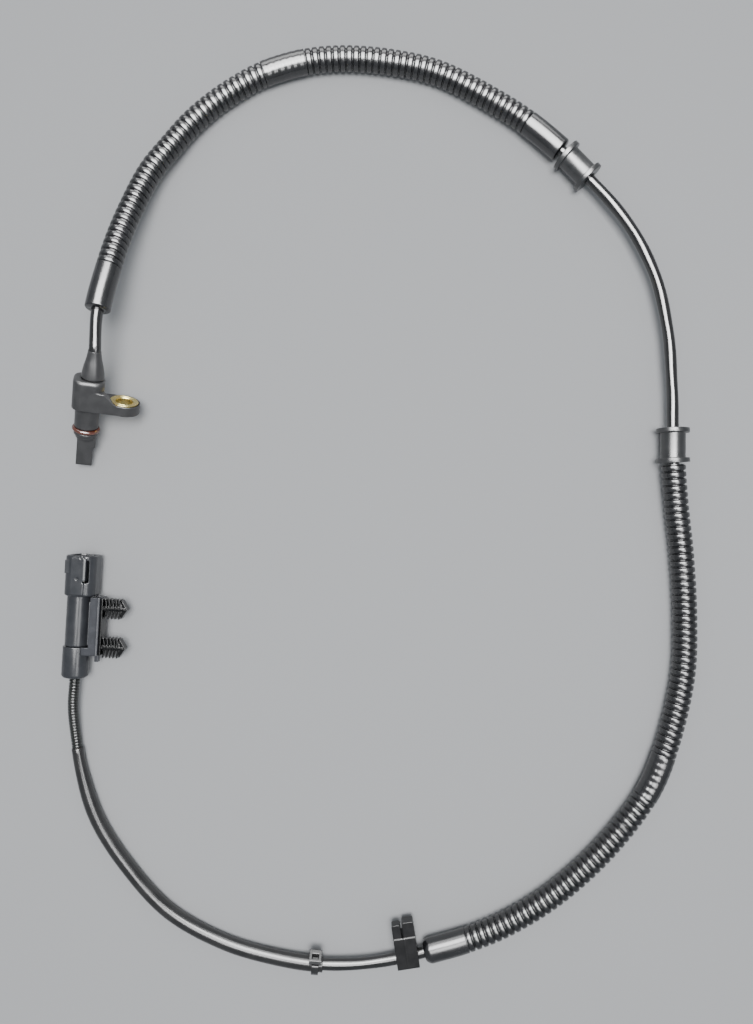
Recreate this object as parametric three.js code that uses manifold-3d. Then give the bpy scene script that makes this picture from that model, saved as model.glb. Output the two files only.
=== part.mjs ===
// Wheel speed sensor with its cable, as it lies on a flat surface.
// Millimetres, +Z up. The origin is on that surface, under the middle of the sensor head.
import * as THREE from 'three';
import { mergeVertices } from 'three/addons/utils/BufferGeometryUtils.js';
import Module from 'manifold-3d';

const wasm = await Module();
wasm.setup();

// Clearances
const gap = 0.3;
const cableClearance = 0.45;

// How the head lies: its barrel leans on the tip, the ear hangs a little to the right
const headPitch = THREE.MathUtils.degToRad(28);
const headYaw = THREE.MathUtils.degToRad(15.8);
const headRoll = THREE.MathUtils.degToRad(22);

// Sensor head, measured along its barrel from the tip
const tipWidth = 6.3;
const tipDepth = 5;
const tipLength = 12.2;
const tipStepLength = 3.9;
const tipStepSide = 1;
const tipWall = 1;
const neckRadius = 4.05;
const neckLength = 1.5;
const barrelRadius = 4.8;
const barrelLength = 12.4;
const bodySize = 12.2;
const bodyCorner = 4;
const bodyHeight = 12.7;
const bodyEdge = 1.2;
const earThickness = 4.3;
const earReach = 14;
const earRadius = 6.5;
const webHeight = 4.8;
const webReach = 5.4;
const boltHeadRadius = 6.55;

// O-ring and its groove
const ringOuterRadius = 5.45;
const ringSection = 0.8;
const ringHeight = 16.2;

// Bolt bush
const boltRadius = 3.4;
const bushRadius = 4.5;
const bushFlangeRadius = 5.65;
const bushFlange = 0.8;
const bushProud = 0.25;
const bushChamfer = 0.3;

// Boot at the cable end of the head
const bootRadius = 4.55;
const bootTopRadius = 3.15;
const bootLength = 9.4;
const bootOffset = 1.2;

// Inside the head
const boreRadius = 3.3;
const lowerBoreRadius = 2.5;
const lowerBoreTop = 22;
const elementThickness = 1.3;
const magnetLength = 4;
const magnetDepth = 1.45;
const leadWidth = 0.8;
const leadThickness = 0.4;
const leadSpacing = 2;
const leadSeat = 0.35;
const leadEnd = 24.2;

// Cable and its two cores
const cableRadius = 2.35;
const coreRadius = 0.65;
const coreSpacing = 1.6;
const cableSides = 10;
const cableStep = 11.5;
const jacketInside = 2.3;

// Corrugated conduits, with their smooth cuffs and stretches
const conduitRadius = 5;
const grooveDepth = 0.75;
const grooveHalfShare = 0.2;
const ribPitch = 2.9;
const conduitBore = 3.4;
const cuffRadius = 5.05;
const cuffMouth = 4.2;
const mouthDepth = 6;
const cuffBevel = 0.5;
const conduitSides = 10;
const smoothStep = 6;
const frontConduit = { start: 19, length: 268.5, firstCuff: 18.8, smoothAt: 131, smoothLength: 18.6, lastCuff: 18.2 };
const rearConduit = { start: 434.4, length: 261.2, firstCuff: 0, smoothAt: 124.6, smoothLength: 19.1, lastCuff: 18.3 };

// Rubber grommets on the cable
const grommetLength = 14.6;
const grommetFlange = 2;
const grommetFlangeRadius = 6.7;
const grommetRadius = 5.1;
const frontGrommetStart = 289.7;
const rearGrommetStart = 419.1;

// Clip on the cable: a block with two prongs
const clipCentre = 703.25;
const clipWidth = 9.4;
const clipFront = 9.7;
const clipBack = 3.8;
const clipHeight = 8.8;
const prongLengths = [5.7, 6.3];
const prongWidths = [3.65, 4.95];
const prongHeights = [4.4, 5.4];
const prongDrop = 0.5;
const clipTurn = THREE.MathUtils.degToRad(-5);

// Cable tie
const tieCentre = 742.7;
const tieWidth = 3;
const tieThickness = 0.8;
const tieHeadWidth = 5.2;
const tieHeadLength = 5.4;
const tieHeadHeight = 3.6;
const tieTurn = THREE.MathUtils.degToRad(56);

// Smooth sleeve over the cable end, and the fine ribbed tube after it
const sleeveStart = 739.5;
const sleeveRadius = 3.1;
const sleeveEndRadius = 2.45;
const sleeveTaper = 28;
const sleeveStep = 10;
const jacketEndInSleeve = 34;
const ribbedLength = 34;
const ribbedRadius = 2.2;
const ribbedGroove = 0.25;
const ribbedPitch = 1.25;
const ribbedBore = 1.7;

// Connector, measured along its axis from the back of its rear cap
const connectorSpot = new THREE.Vector3(-13.8, -111.3, 7.2);
const connectorYaw = THREE.MathUtils.degToRad(-3.3);
const capRadius = 5.45;
const capLength = 13.2;
const capWall = 2.2;
const capChamfer = 0.9;
const tubeInCap = 3;
const spigotRadius = 3.9;
const spigotLength = 4;
const shellRadius = 4.8;
const shellLength = 21.2;
const collarWidth = 13.6;
const collarHeight = 14.4;
const collarLength = 16.9;
const collarCorner = 4.6;
const collarOffset = 1.8;
const collarWall = 1.6;
const collarFloor = 2.2;
const panelWidth = 5.6;
const panelHeight = 0.5;
const panelCentre = 1.8;
const slotWidth = 1.5;
const slotLength = 10.6;
const slotMargin = 1.9;
const slotCentre = 5.8;
const keyWidth = 1.9;
const keyLength = 5.6;
const connectorBore = 3.2;
const blockLength = 12.8;
const sealLength = 6;
const sealStart = 10.4;
const pinRadius = 0.7;
const coreInBlock = 0.7;
const pinReach = 9;
const pinSpacing = 3;

// Retainer on the connector's rail, and the mount with two fir trees
const railNeck = 2.2;
const railHead = 4.8;
const railHeadThickness = 1.6;
const railLength = 18;
const retainerStart = 7;
const retainerThickness = 4.7;
const retainerLength = 24.3;
const retainerHeight = 8.4;
const footReach = 3;
const footLength = 3.2;
const baseThickness = 1.4;
const baseHeight = 5.6;
const treeLength = 8.2;
const treeShift = -0.9;
const treeHalfWidth = 4.2;
const treeCore = 1.2;
const treeThickness = 4.4;
const treeFins = 5;
const treeSpacing = 16.2;
const treeRib = 0.8;

// The cable's route between the head and the connector, laid out by hand
const layout = [
  [0.6, 25.5, 25.6], [2.1, 38.1, 25], [5.1, 56.3, 21], [7.5, 68.2, 17.8], [11.5, 82.2, 14],
  [18.8, 100.6, 9.6], [26.8, 112.2, 7.4], [35, 122.5, 6], [43.4, 130.3, 5.3], [52, 136.4, 5.2],
  [64.9, 143.5, 5.2], [82.7, 148.9, 5.2], [99.5, 150.5, 5.2], [120.4, 148.8, 5.2], [139.9, 144.2, 5.2],
  [164, 131.8, 5.4], [177.1, 123, 6], [192, 110.1, 6.9], [202.9, 99, 7.1], [218.7, 80.4, 7.8],
  [230.2, 58.7, 8], [235.8, 35.4, 8], [238, 10.7, 7.3], [238.5, -5.3, 6.85], [238.6, -19.9, 6.8],
  [240.5, -39.7, 5.6], [242.8, -60, 5.2], [244.2, -87, 5.2], [243.2, -112.1, 5.2], [235.5, -143.9, 5.2],
  [227.9, -161.4, 5.2], [209.3, -185.4, 5.2], [187.7, -204.6, 5.2], [167.8, -216.7, 5.2], [152.7, -222.9, 5.2],
  [136.5, -227.6, 5.15], [125.5, -230.6, 4.8], [113.2, -233, 4.6], [100.8, -234, 4.55], [87.6, -233.8, 4.55],
  [70, -231.4, 3.7], [48.8, -225.4, 3.2], [25, -212.2, 3.2], [6.9, -192.6, 3.2], [-5.7, -172.8, 3.2],
  [-12.2, -153, 3.2], [-14.6, -137, 4], [-15, -124, 6],
];

const charcoal = new THREE.MeshStandardMaterial({ color: 0x3b3b3d, roughness: 0.62, metalness: 0 });
const bootPlastic = new THREE.MeshStandardMaterial({ color: 0x434345, roughness: 0.66, metalness: 0 });
const glossBlack = new THREE.MeshStandardMaterial({ color: 0x17181a, roughness: 0.28, metalness: 0 });
const cableJacket = new THREE.MeshStandardMaterial({ color: 0x141516, roughness: 0.3, metalness: 0 });
const greyRubber = new THREE.MeshStandardMaterial({ color: 0x343638, roughness: 0.55, metalness: 0 });
const mattBlack = new THREE.MeshStandardMaterial({ color: 0x262628, roughness: 0.75, metalness: 0 });
const slatePlastic = new THREE.MeshStandardMaterial({ color: 0x4b4d52, roughness: 0.5, metalness: 0 });
const firTreeBlack = new THREE.MeshStandardMaterial({ color: 0x121314, roughness: 0.4, metalness: 0 });
const yellowZinc = new THREE.MeshStandardMaterial({ color: 0xc9a85a, roughness: 0.35, metalness: 1 });
const sealRubber = new THREE.MeshStandardMaterial({ color: 0x9c4a2c, roughness: 0.5, metalness: 0 });
const ceramic = new THREE.MeshStandardMaterial({ color: 0x1d1d20, roughness: 0.5, metalness: 0 });
const magnetSteel = new THREE.MeshStandardMaterial({ color: 0x8b8d90, roughness: 0.4, metalness: 1 });
const tinned = new THREE.MeshStandardMaterial({ color: 0xb9b6ad, roughness: 0.3, metalness: 1 });
const whiteInsulation = new THREE.MeshStandardMaterial({ color: 0xd8d6cf, roughness: 0.5, metalness: 0 });
const brownInsulation = new THREE.MeshStandardMaterial({ color: 0x5a3a26, roughness: 0.5, metalness: 0 });
const insertPlastic = new THREE.MeshStandardMaterial({ color: 0x2b2c30, roughness: 0.6, metalness: 0 });

// Solids: joining, cutting and placing

function signedVolume(positions, indices) {
  const a = new THREE.Vector3();
  const b = new THREE.Vector3();
  const c = new THREE.Vector3();
  let volume = 0;
  for (let i = 0; i < indices.length; i += 3) {
    a.fromArray(positions, indices[i] * 3);
    b.fromArray(positions, indices[i + 1] * 3);
    c.fromArray(positions, indices[i + 2] * 3);
    volume += a.dot(b.cross(c)) / 6;
  }
  return volume;
}

function welded(geometry) {
  const bare = geometry.clone();
  bare.deleteAttribute('normal');
  bare.deleteAttribute('uv');
  const merged = mergeVertices(bare, 1e-4);
  const indices = Array.from(merged.index.array);
  const kept = [];
  for (let i = 0; i < indices.length; i += 3) {
    const [a, b, c] = indices.slice(i, i + 3);
    if (a !== b && b !== c && c !== a) kept.push(a, b, c);
  }
  if (signedVolume(merged.attributes.position.array, kept) < 0) kept.reverse();
  merged.setIndex(kept);
  return merged;
}

function toSolid(geometry) {
  const merged = welded(geometry);
  return new wasm.Manifold(new wasm.Mesh({
    numProp: 3,
    vertProperties: new Float32Array(merged.attributes.position.array),
    triVerts: new Uint32Array(merged.index.array),
  }));
}

function toGeometry(solid) {
  const mesh = solid.getMesh();
  const geometry = new THREE.BufferGeometry();
  geometry.setAttribute('position', new THREE.BufferAttribute(new Float32Array(mesh.vertProperties), 3));
  geometry.setIndex(new THREE.BufferAttribute(new Uint32Array(mesh.triVerts), 1));
  geometry.computeVertexNormals();
  return geometry;
}

function box(low, high) {
  const size = high.map((value, i) => value - low[i]);
  const middle = high.map((value, i) => (value + low[i]) / 2);
  return toSolid(new THREE.BoxGeometry(...size).translate(...middle));
}

// A turned shape about Z, from [radius, height] pairs
function turned(profile, sides) {
  const points = profile.map(([radius, height]) => new THREE.Vector2(radius, height));
  return new THREE.LatheGeometry(points, sides).rotateX(Math.PI / 2);
}

function rod(radius, low, high, sides = 24) {
  return toSolid(turned([[0, low], [radius, low], [radius, high], [0, high]], sides));
}

function roundedRectangle(width, height, corner) {
  const x = width / 2;
  const y = height / 2;
  const shape = new THREE.Shape();
  shape.moveTo(-x + corner, -y);
  shape.lineTo(x - corner, -y);
  shape.absarc(x - corner, -y + corner, corner, -Math.PI / 2, 0, false);
  shape.absarc(x - corner, y - corner, corner, 0, Math.PI / 2, false);
  shape.absarc(-x + corner, y - corner, corner, Math.PI / 2, Math.PI, false);
  shape.absarc(-x + corner, -y + corner, corner, Math.PI, Math.PI * 1.5, false);
  return shape;
}

function prism(shape, low, high, curveSegments = 4) {
  const geometry = new THREE.ExtrudeGeometry(shape, { depth: high - low, bevelEnabled: false, curveSegments });
  return toSolid(geometry.translate(0, 0, low));
}

function piece(name, geometry, material) {
  const mesh = new THREE.Mesh(geometry, material);
  mesh.name = name;
  return mesh;
}

// Sensor head: X runs to the ear, Z from the tip to the cable, -Y is the face that shows

const barrelStart = tipLength + neckLength;
const bodyStart = barrelStart + barrelLength;
const bodyEnd = bodyStart + bodyHeight;
const earTop = bodyStart + earThickness;

function sensorHousing() {
  const tip = box([-tipWidth / 2, -tipDepth / 2, 0], [tipWidth / 2, tipDepth / 2, tipLength + neckLength / 2]);
  const step = box(
    [-tipWidth / 2, -tipDepth / 2, tipLength - tipStepLength],
    [tipWidth / 2 + tipStepSide, tipDepth / 2, tipLength + neckLength / 2]);
  const neck = rod(neckRadius, tipLength, barrelStart);
  const barrel = rod(barrelRadius, barrelStart, bodyStart + bodyEdge);

  const outline = roundedRectangle(bodySize, bodySize, bodyCorner);
  const lowerBody = prism(outline, bodyStart, bodyEnd - bodyEdge);
  const bevel = new THREE.ExtrudeGeometry(
    roundedRectangle(bodySize - 2 * bodyEdge, bodySize - 2 * bodyEdge, bodyCorner - bodyEdge),
    { depth: bodyEdge, bevelEnabled: true, bevelSize: bodyEdge, bevelThickness: bodyEdge, bevelSegments: 2,
      curveSegments: 4 });
  const upperBody = toSolid(bevel.translate(0, 0, bodyEnd - 2 * bodyEdge));

  const boss = rod(earRadius, bodyStart, earTop, 28).translate([earReach, 0, 0]);
  const bridge = box([0, -bodySize / 2, bodyStart], [earReach, bodySize / 2, earTop]);
  const webShape = new THREE.Shape([
    new THREE.Vector2(0, bodyStart),
    new THREE.Vector2(bodySize / 2 + webReach, bodyStart),
    new THREE.Vector2(bodySize / 2 + webReach, earTop),
    new THREE.Vector2(bodySize / 2 + 0.6 * webReach, earTop + 0.56 * webHeight),
    new THREE.Vector2(bodySize / 2, earTop + webHeight),
    new THREE.Vector2(0, earTop + webHeight),
  ]);
  const boltHead = rod(boltHeadRadius, earTop, earTop + webHeight + 1, 28).translate([earReach, 0, 0]);
  const web = prism(webShape, -bodySize / 2, bodySize / 2).rotate([90, 0, 0]).subtract(boltHead);

  const outside = tip.add(step).add(neck).add(barrel).add(lowerBody).add(upperBody).add(boss).add(bridge).add(web);

  const grooveFloor = ringOuterRadius - 2 * ringSection - gap;
  const grooveHalf = ringSection + gap;
  const groove = rod(barrelRadius + 2, ringHeight - grooveHalf, ringHeight + grooveHalf, 32)
    .subtract(rod(grooveFloor, ringHeight - 2 * grooveHalf, ringHeight + 2 * grooveHalf, 32));
  const bushHole = rod(bushRadius + gap, bodyStart - 1, earTop + 1).translate([earReach, 0, 0]);
  const flangeSeat = rod(bushFlangeRadius + gap, earTop - bushFlange + bushProud - gap, earTop + webHeight + 1, 28)
    .translate([earReach, 0, 0]);
  const upperBore = rod(boreRadius, lowerBoreTop, bodyEnd + 1).translate([0, 0, 0]);
  const lowerBore = rod(lowerBoreRadius, barrelStart + tipWall, lowerBoreTop + 1);
  const pocket = box(
    [-tipWidth / 2 + tipWall, -tipDepth / 2 + tipWall - 0.2, tipWall],
    [tipWidth / 2 - tipWall, tipDepth / 2 - tipWall + 0.2, barrelStart + 2 * tipWall]);
  const cableMouth = rod(cableRadius + cableClearance, bodyEnd - jacketInside - 1, bodyEnd + 1)
    .translate([bootOffset, 0, 0]);
  return toGeometry(outside.subtract(groove).subtract(bushHole).subtract(flangeSeat).subtract(upperBore)
    .subtract(lowerBore).subtract(pocket).subtract(cableMouth));
}

function mountingBush() {
  const bottom = bodyStart - bushProud;
  const flangeTop = earTop + bushProud;
  const profile = [
    [boltRadius, bottom], [bushRadius, bottom], [bushRadius, flangeTop - bushFlange],
    [bushFlangeRadius, flangeTop - bushFlange], [bushFlangeRadius, flangeTop],
    [boltRadius + bushChamfer, flangeTop], [boltRadius, flangeTop - bushChamfer], [boltRadius, bottom],
  ];
  return welded(turned(profile, 24).translate(earReach, 0, 0));
}

function sealingRing() {
  const middle = ringOuterRadius - ringSection;
  const profile = [];
  const sides = 8;
  for (let i = 0; i <= sides; i += 1) {
    const angle = (i * 2 * Math.PI) / sides;
    profile.push([middle + ringSection * Math.cos(angle), ringHeight + ringSection * Math.sin(angle)]);
  }
  return welded(turned(profile, 24));
}

function cableBoot() {
  const bore = cableRadius + cableClearance;
  const profile = [[bore, 0], [bootRadius, 0]];
  const rings = 5;
  for (let i = 1; i <= rings; i += 1) {
    const share = i / rings;
    const radius = bootTopRadius + (bootRadius - bootTopRadius) * (1 - share ** 1.8);
    profile.push([radius, bootLength * share]);
  }
  profile.push([bore, bootLength], [bore, 0]);
  return welded(turned(profile, 20).translate(bootOffset, 0, bodyEnd + gap));
}

const pocketHalfWidth = tipWidth / 2 - tipWall - gap;
const pocketHalfDepth = tipDepth / 2 - tipWall + 0.2 - gap;
const elementStart = tipWall + gap;
const leadStart = elementStart + elementThickness + gap;
const magnetEnd = leadStart + magnetLength;

function hallElement() {
  return toGeometry(box(
    [-pocketHalfWidth, -pocketHalfDepth, elementStart],
    [pocketHalfWidth, pocketHalfDepth, elementStart + elementThickness]));
}

function biasMagnet() {
  return toGeometry(box(
    [-pocketHalfWidth, pocketHalfDepth - magnetDepth, leadStart],
    [pocketHalfWidth, pocketHalfDepth, magnetEnd]));
}

function leadCarrier() {
  const face = pocketHalfDepth - magnetDepth;
  const top = bodyEnd - jacketInside - 2 * gap;
  const tongue = box(
    [-pocketHalfWidth, face, magnetEnd + gap], [pocketHalfWidth, pocketHalfDepth, barrelStart + 2 * tipWall]);
  const lower = rod(lowerBoreRadius - gap, barrelStart + tipWall + gap, lowerBoreTop + gap);
  const upper = rod(boreRadius - gap, lowerBoreTop + gap, top);
  const front = box([-boreRadius, -boreRadius, 0], [boreRadius, face, bodyEnd]);
  return toGeometry(lower.add(upper).add(tongue).subtract(front));
}

function sensorLead(side) {
  const middle = (side * leadSpacing) / 2;
  const face = pocketHalfDepth - magnetDepth - leadSeat;
  return toGeometry(box(
    [middle - leadWidth / 2, face - leadThickness, leadStart], [middle + leadWidth / 2, face, leadEnd]));
}

function headCore(side) {
  const face = pocketHalfDepth - magnetDepth - leadSeat;
  const core = rod(coreRadius, leadEnd + gap, bodyEnd - jacketInside - gap, 8);
  return toGeometry(core.translate([(side * leadSpacing) / 2, face - coreRadius, 0]));
}

const headBodies = new THREE.Group();
headBodies.add(
  piece('sensor_housing', sensorHousing(), charcoal),
  piece('mounting_bush', mountingBush(), yellowZinc),
  piece('o_ring', sealingRing(), sealRubber),
  piece('cable_boot', cableBoot(), bootPlastic),
  piece('hall_element', hallElement(), ceramic),
  piece('bias_magnet', biasMagnet(), magnetSteel),
  piece('lead_carrier', leadCarrier(), insertPlastic),
  piece('sensor_lead_left', sensorLead(-1), tinned),
  piece('sensor_lead_right', sensorLead(1), tinned),
  piece('head_core_white', headCore(-1), whiteInsulation),
  piece('head_core_brown', headCore(1), brownInsulation));
headBodies.rotation.z = headRoll;

const headLean = new THREE.Group();
headLean.rotation.x = headPitch - Math.PI / 2;
headLean.add(headBodies);

const head = new THREE.Group();
head.rotation.z = -headYaw;
head.add(headLean);

// The head stands on its tip, with the middle of its box over the origin
head.updateMatrixWorld(true);
const headBox = new THREE.Box3().setFromObject(head, true);
const headCentre = headBox.getCenter(new THREE.Vector3());
head.position.set(-headCentre.x, -headCentre.y, -headBox.min.z);
head.updateMatrixWorld(true);

function onHead(x, y, z) {
  return headBodies.localToWorld(new THREE.Vector3(x, y, z));
}

// The connector's own frame: Y runs along its axis to the mating face

const connector = new THREE.Group();
connector.position.copy(connectorSpot);
connector.rotation.z = connectorYaw;
connector.updateMatrixWorld(true);

function onConnector(x, y, z) {
  return connector.localToWorld(new THREE.Vector3(x, y, z));
}

// The cable's centre line, straight through the boot and straight into the rear cap

const bootExit = bodyEnd + gap + bootLength;
const route = new THREE.CatmullRomCurve3([
  onHead(bootOffset, 0, bodyEnd - jacketInside),
  onHead(bootOffset, 0, bodyEnd + bootLength / 2),
  onHead(bootOffset, 0, bootExit),
  onHead(bootOffset, 0, bootExit + 2.5),
  ...layout.slice(1).map((point) => new THREE.Vector3(...point)),
  onConnector(0, -3, 0),
  onConnector(0, 0, 0),
  onConnector(0, tubeInCap, 0),
], false, 'centripetal');
route.arcLengthDivisions = 2000;
const routeLength = route.getLength();
const exitStation = bootExit - bodyEnd + jacketInside;

// A stretch of the route between two stations, counted from the boot's mouth
class Stretch extends THREE.Curve {
  constructor(start, end, aside = 0) {
    super();
    this.start = (start + exitStation) / routeLength;
    this.end = (end + exitStation) / routeLength;
    this.aside = aside;
  }

  getPoint(t, target = new THREE.Vector3()) {
    const share = this.start + (this.end - this.start) * t;
    const { place, side } = frameAt(share);
    return target.copy(place).addScaledVector(side, this.aside);
  }
}

function frameAt(share) {
  const place = route.getPointAt(share);
  const tangent = route.getTangentAt(share);
  const side = new THREE.Vector3().crossVectors(tangent, new THREE.Vector3(0, 0, 1)).normalize();
  const up = new THREE.Vector3().crossVectors(side, tangent);
  return { place, tangent, side, up };
}

function frameAtStation(station) {
  return frameAt(THREE.MathUtils.clamp((station + exitStation) / routeLength, 0, 1));
}

// A turned shape bent along the route: its heights are stations
function bent(profile, sides) {
  const geometry = welded(turned(profile, sides));
  const position = geometry.attributes.position;
  const point = new THREE.Vector3();
  for (let i = 0; i < position.count; i += 1) {
    point.fromBufferAttribute(position, i);
    const { place, side, up } = frameAtStation(point.z);
    const moved = place.addScaledVector(side, point.x).addScaledVector(up, point.y);
    position.setXYZ(i, moved.x, moved.y, moved.z);
  }
  return welded(geometry);
}

function circle(radius, sides) {
  const shape = new THREE.Shape();
  for (let i = 0; i < sides; i += 1) {
    const angle = (i * 2 * Math.PI) / sides;
    if (i === 0) shape.moveTo(radius, 0);
    else shape.lineTo(radius * Math.cos(angle), radius * Math.sin(angle));
  }
  shape.closePath();
  return shape;
}

function tube(path, length, radius, sides, step) {
  const steps = Math.max(1, Math.round(length / step));
  return welded(new THREE.ExtrudeGeometry(circle(radius, sides), { steps, extrudePath: path, bevelEnabled: false }));
}

function evenHeights(from, to, step) {
  const count = Math.max(1, Math.round((to - from) / step));
  return Array.from({ length: count + 1 }, (unused, i) => from + ((to - from) * i) / count);
}

// A closed wall from an outer and an inner profile that both run from one end to the other
function wall(outer, inner) {
  return [...outer, ...inner.reverse(), outer[0]];
}

function conduit({ start, length, firstCuff, smoothAt, smoothLength, lastCuff }) {
  const end = start + length;
  const outer = [];
  const smooth = (from, to) => evenHeights(from, to, smoothStep).forEach((height) => outer.push([cuffRadius, height]));
  const ribbed = (from, to) => {
    const count = Math.round((to - from) / ribPitch);
    const pitch = (to - from) / count;
    for (let i = 0; i < count; i += 1) {
      outer.push([conduitRadius - grooveDepth, from + i * pitch]);
      outer.push([conduitRadius, from + (i + grooveHalfShare) * pitch]);
      outer.push([conduitRadius, from + (i + 1 - grooveHalfShare) * pitch]);
    }
    outer.push([conduitRadius - grooveDepth, to]);
  };
  if (firstCuff > 0) {
    outer.push([cuffRadius - cuffBevel, start]);
    smooth(start + cuffBevel, start + firstCuff);
  }
  ribbed(start + firstCuff, start + smoothAt);
  smooth(start + smoothAt, start + smoothAt + smoothLength);
  ribbed(start + smoothAt + smoothLength, end - lastCuff);
  smooth(end - lastCuff, end - cuffBevel);
  outer.push([cuffRadius - cuffBevel, end]);

  const inner = [];
  const firstMouth = firstCuff > 0 ? start + mouthDepth : start;
  if (firstCuff > 0) inner.push([cuffMouth, start], [cuffMouth, firstMouth]);
  evenHeights(firstMouth + (firstCuff > 0 ? 1 : 0), end - mouthDepth - 1, 3 * ribPitch)
    .forEach((height) => inner.push([conduitBore, height]));
  inner.push([cuffMouth, end - mouthDepth], [cuffMouth, end]);
  return bent(wall(outer, inner), conduitSides);
}

function grommet(start) {
  const end = start + grommetLength;
  const bore = cableRadius + cableClearance;
  const outer = [
    [grommetFlangeRadius, start], [grommetFlangeRadius, start + grommetFlange],
    [grommetRadius, start + grommetFlange], [grommetRadius, end - grommetFlange],
    [grommetFlangeRadius, end - grommetFlange], [grommetFlangeRadius, end],
  ];
  return bent(wall(outer, [[bore, start], [bore, (start + end) / 2], [bore, end]]), 24);
}

// The tail: the jacket ends inside the sleeve and its two cores go on to the connector

const tubeEnd = routeLength - exitStation;
const ribbedStart = tubeEnd - ribbedLength;
const sleeveEnd = ribbedStart - gap;
const jacketEnd = sleeveEnd - jacketEndInSleeve;

function sleeve() {
  const taperStart = sleeveEnd - sleeveTaper;
  const bore = cableRadius + cableClearance / 2;
  const outer = [];
  evenHeights(sleeveStart, taperStart, sleeveStep).forEach((height) => outer.push([sleeveRadius, height]));
  evenHeights(taperStart, sleeveEnd, sleeveStep).slice(1).forEach((height) => {
    const share = (height - taperStart) / sleeveTaper;
    outer.push([sleeveRadius + (sleeveEndRadius - sleeveRadius) * share, height]);
  });
  const inner = [];
  evenHeights(sleeveStart, jacketEnd + gap, sleeveStep).forEach((height) => inner.push([bore, height]));
  evenHeights(jacketEnd + 3, sleeveEnd, sleeveStep).forEach((height) => inner.push([ribbedBore, height]));
  return bent(wall(outer, inner), 12);
}

function ribbedTube() {
  const count = Math.round(ribbedLength / ribbedPitch);
  const pitch = ribbedLength / count;
  const outer = [[ribbedRadius, ribbedStart]];
  for (let i = 0; i < count; i += 1) {
    outer.push([ribbedRadius - ribbedGroove, ribbedStart + (i + 0.4) * pitch]);
    outer.push([ribbedRadius, ribbedStart + (i + 1) * pitch]);
  }
  const inner = evenHeights(ribbedStart, tubeEnd, 2 * ribbedPitch).map((height) => [ribbedBore, height]);
  return bent(wall(outer, inner), 8);
}

function tailCore(side) {
  const points = [];
  evenHeights(jacketEnd + gap, tubeEnd, sleeveStep).forEach((station) => {
    const { place, side: across } = frameAtStation(station);
    points.push(place.addScaledVector(across, (side * coreSpacing) / 2));
  });
  const spread = (side * pinSpacing) / 2;
  points.push(onConnector(spread, sealStart - gap, 0), onConnector(spread, sealStart + sealLength, 0));
  points.push(onConnector(spread, blockStart + coreInBlock, 0));
  const path = new THREE.CatmullRomCurve3(points, false, 'centripetal');
  return tube(path, path.getLength(), coreRadius, 8, 4.5);
}

// The clip and the tie stand square to the cable where they hold it

function placedOn(station, turn, height) {
  const { place, tangent } = frameAtStation(station);
  const holder = new THREE.Group();
  holder.position.set(place.x, place.y, height ?? place.z);
  holder.rotation.z = Math.atan2(tangent.y, tangent.x) + Math.PI + turn;
  return holder;
}

function cableClip(holeHeight) {
  const half = clipWidth / 2;
  const corner = 1.2;
  const profile = new THREE.Shape([
    new THREE.Vector2(-clipBack, 0), new THREE.Vector2(clipFront, 0), new THREE.Vector2(clipFront, clipHeight - corner),
    new THREE.Vector2(clipFront - corner, clipHeight), new THREE.Vector2(-clipBack + corner, clipHeight),
    new THREE.Vector2(-clipBack, clipHeight - corner),
  ]);
  const block = prism(profile, -half, half).rotate([90, 0, 90]);
  const splitGap = clipWidth - prongWidths[0] - prongWidths[1];
  const starts = [-half, -half + prongWidths[0] + splitGap];
  let clip = block;
  prongWidths.forEach((width, i) => {
    const low = clipHeight - prongDrop - prongHeights[i];
    const end = clipFront + prongLengths[i];
    const nose = Math.min(1, width / 3);
    const outline = new THREE.Shape([
      new THREE.Vector2(starts[i], clipFront - 1), new THREE.Vector2(starts[i] + width, clipFront - 1),
      new THREE.Vector2(starts[i] + width, end - nose),
      new THREE.Vector2(starts[i] + width - nose, end),
      new THREE.Vector2(starts[i] + nose, end),
      new THREE.Vector2(starts[i], end - nose),
    ]);
    clip = clip.add(prism(outline, low, low + prongHeights[i]));
  });
  const hole = rod(cableRadius + cableClearance, -clipWidth, clipWidth, 16).rotate([0, 90, 0])
    .rotate([0, 0, -THREE.MathUtils.radToDeg(clipTurn)]).translate([0, 0, holeHeight]);
  return toGeometry(clip.subtract(hole));
}

function cableTie() {
  const inner = sleeveRadius + gap;
  const outer = inner + tieThickness;
  const strap = rod(outer, -tieWidth / 2, tieWidth / 2, 20).rotate([0, 90, 0]);
  const lock = box(
    [-tieHeadWidth / 2, -tieHeadLength / 2, inner], [tieHeadWidth / 2, tieHeadLength / 2, inner + tieHeadHeight]);
  const slot = box(
    [-tieWidth / 2 + gap, -tieThickness, inner + tieThickness], [tieWidth / 2 - gap, tieThickness, outer + tieHeadHeight]);
  const bore = rod(inner, -tieHeadWidth, tieHeadWidth, 20).rotate([0, 90, 0]);
  return toGeometry(strap.add(lock).subtract(slot).subtract(bore));
}

// Connector pieces

const shellStart = capLength + gap;
const collarStart = shellStart + shellLength;
const collarEnd = collarStart + collarLength;
const floorHeight = collarStart + collarFloor;
const blockStart = floorHeight - gap - blockLength;

// Turns a shape made about Z so that its heights run along Y
function alongY(solid) {
  return solid.rotate([-90, 0, 0]);
}

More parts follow.
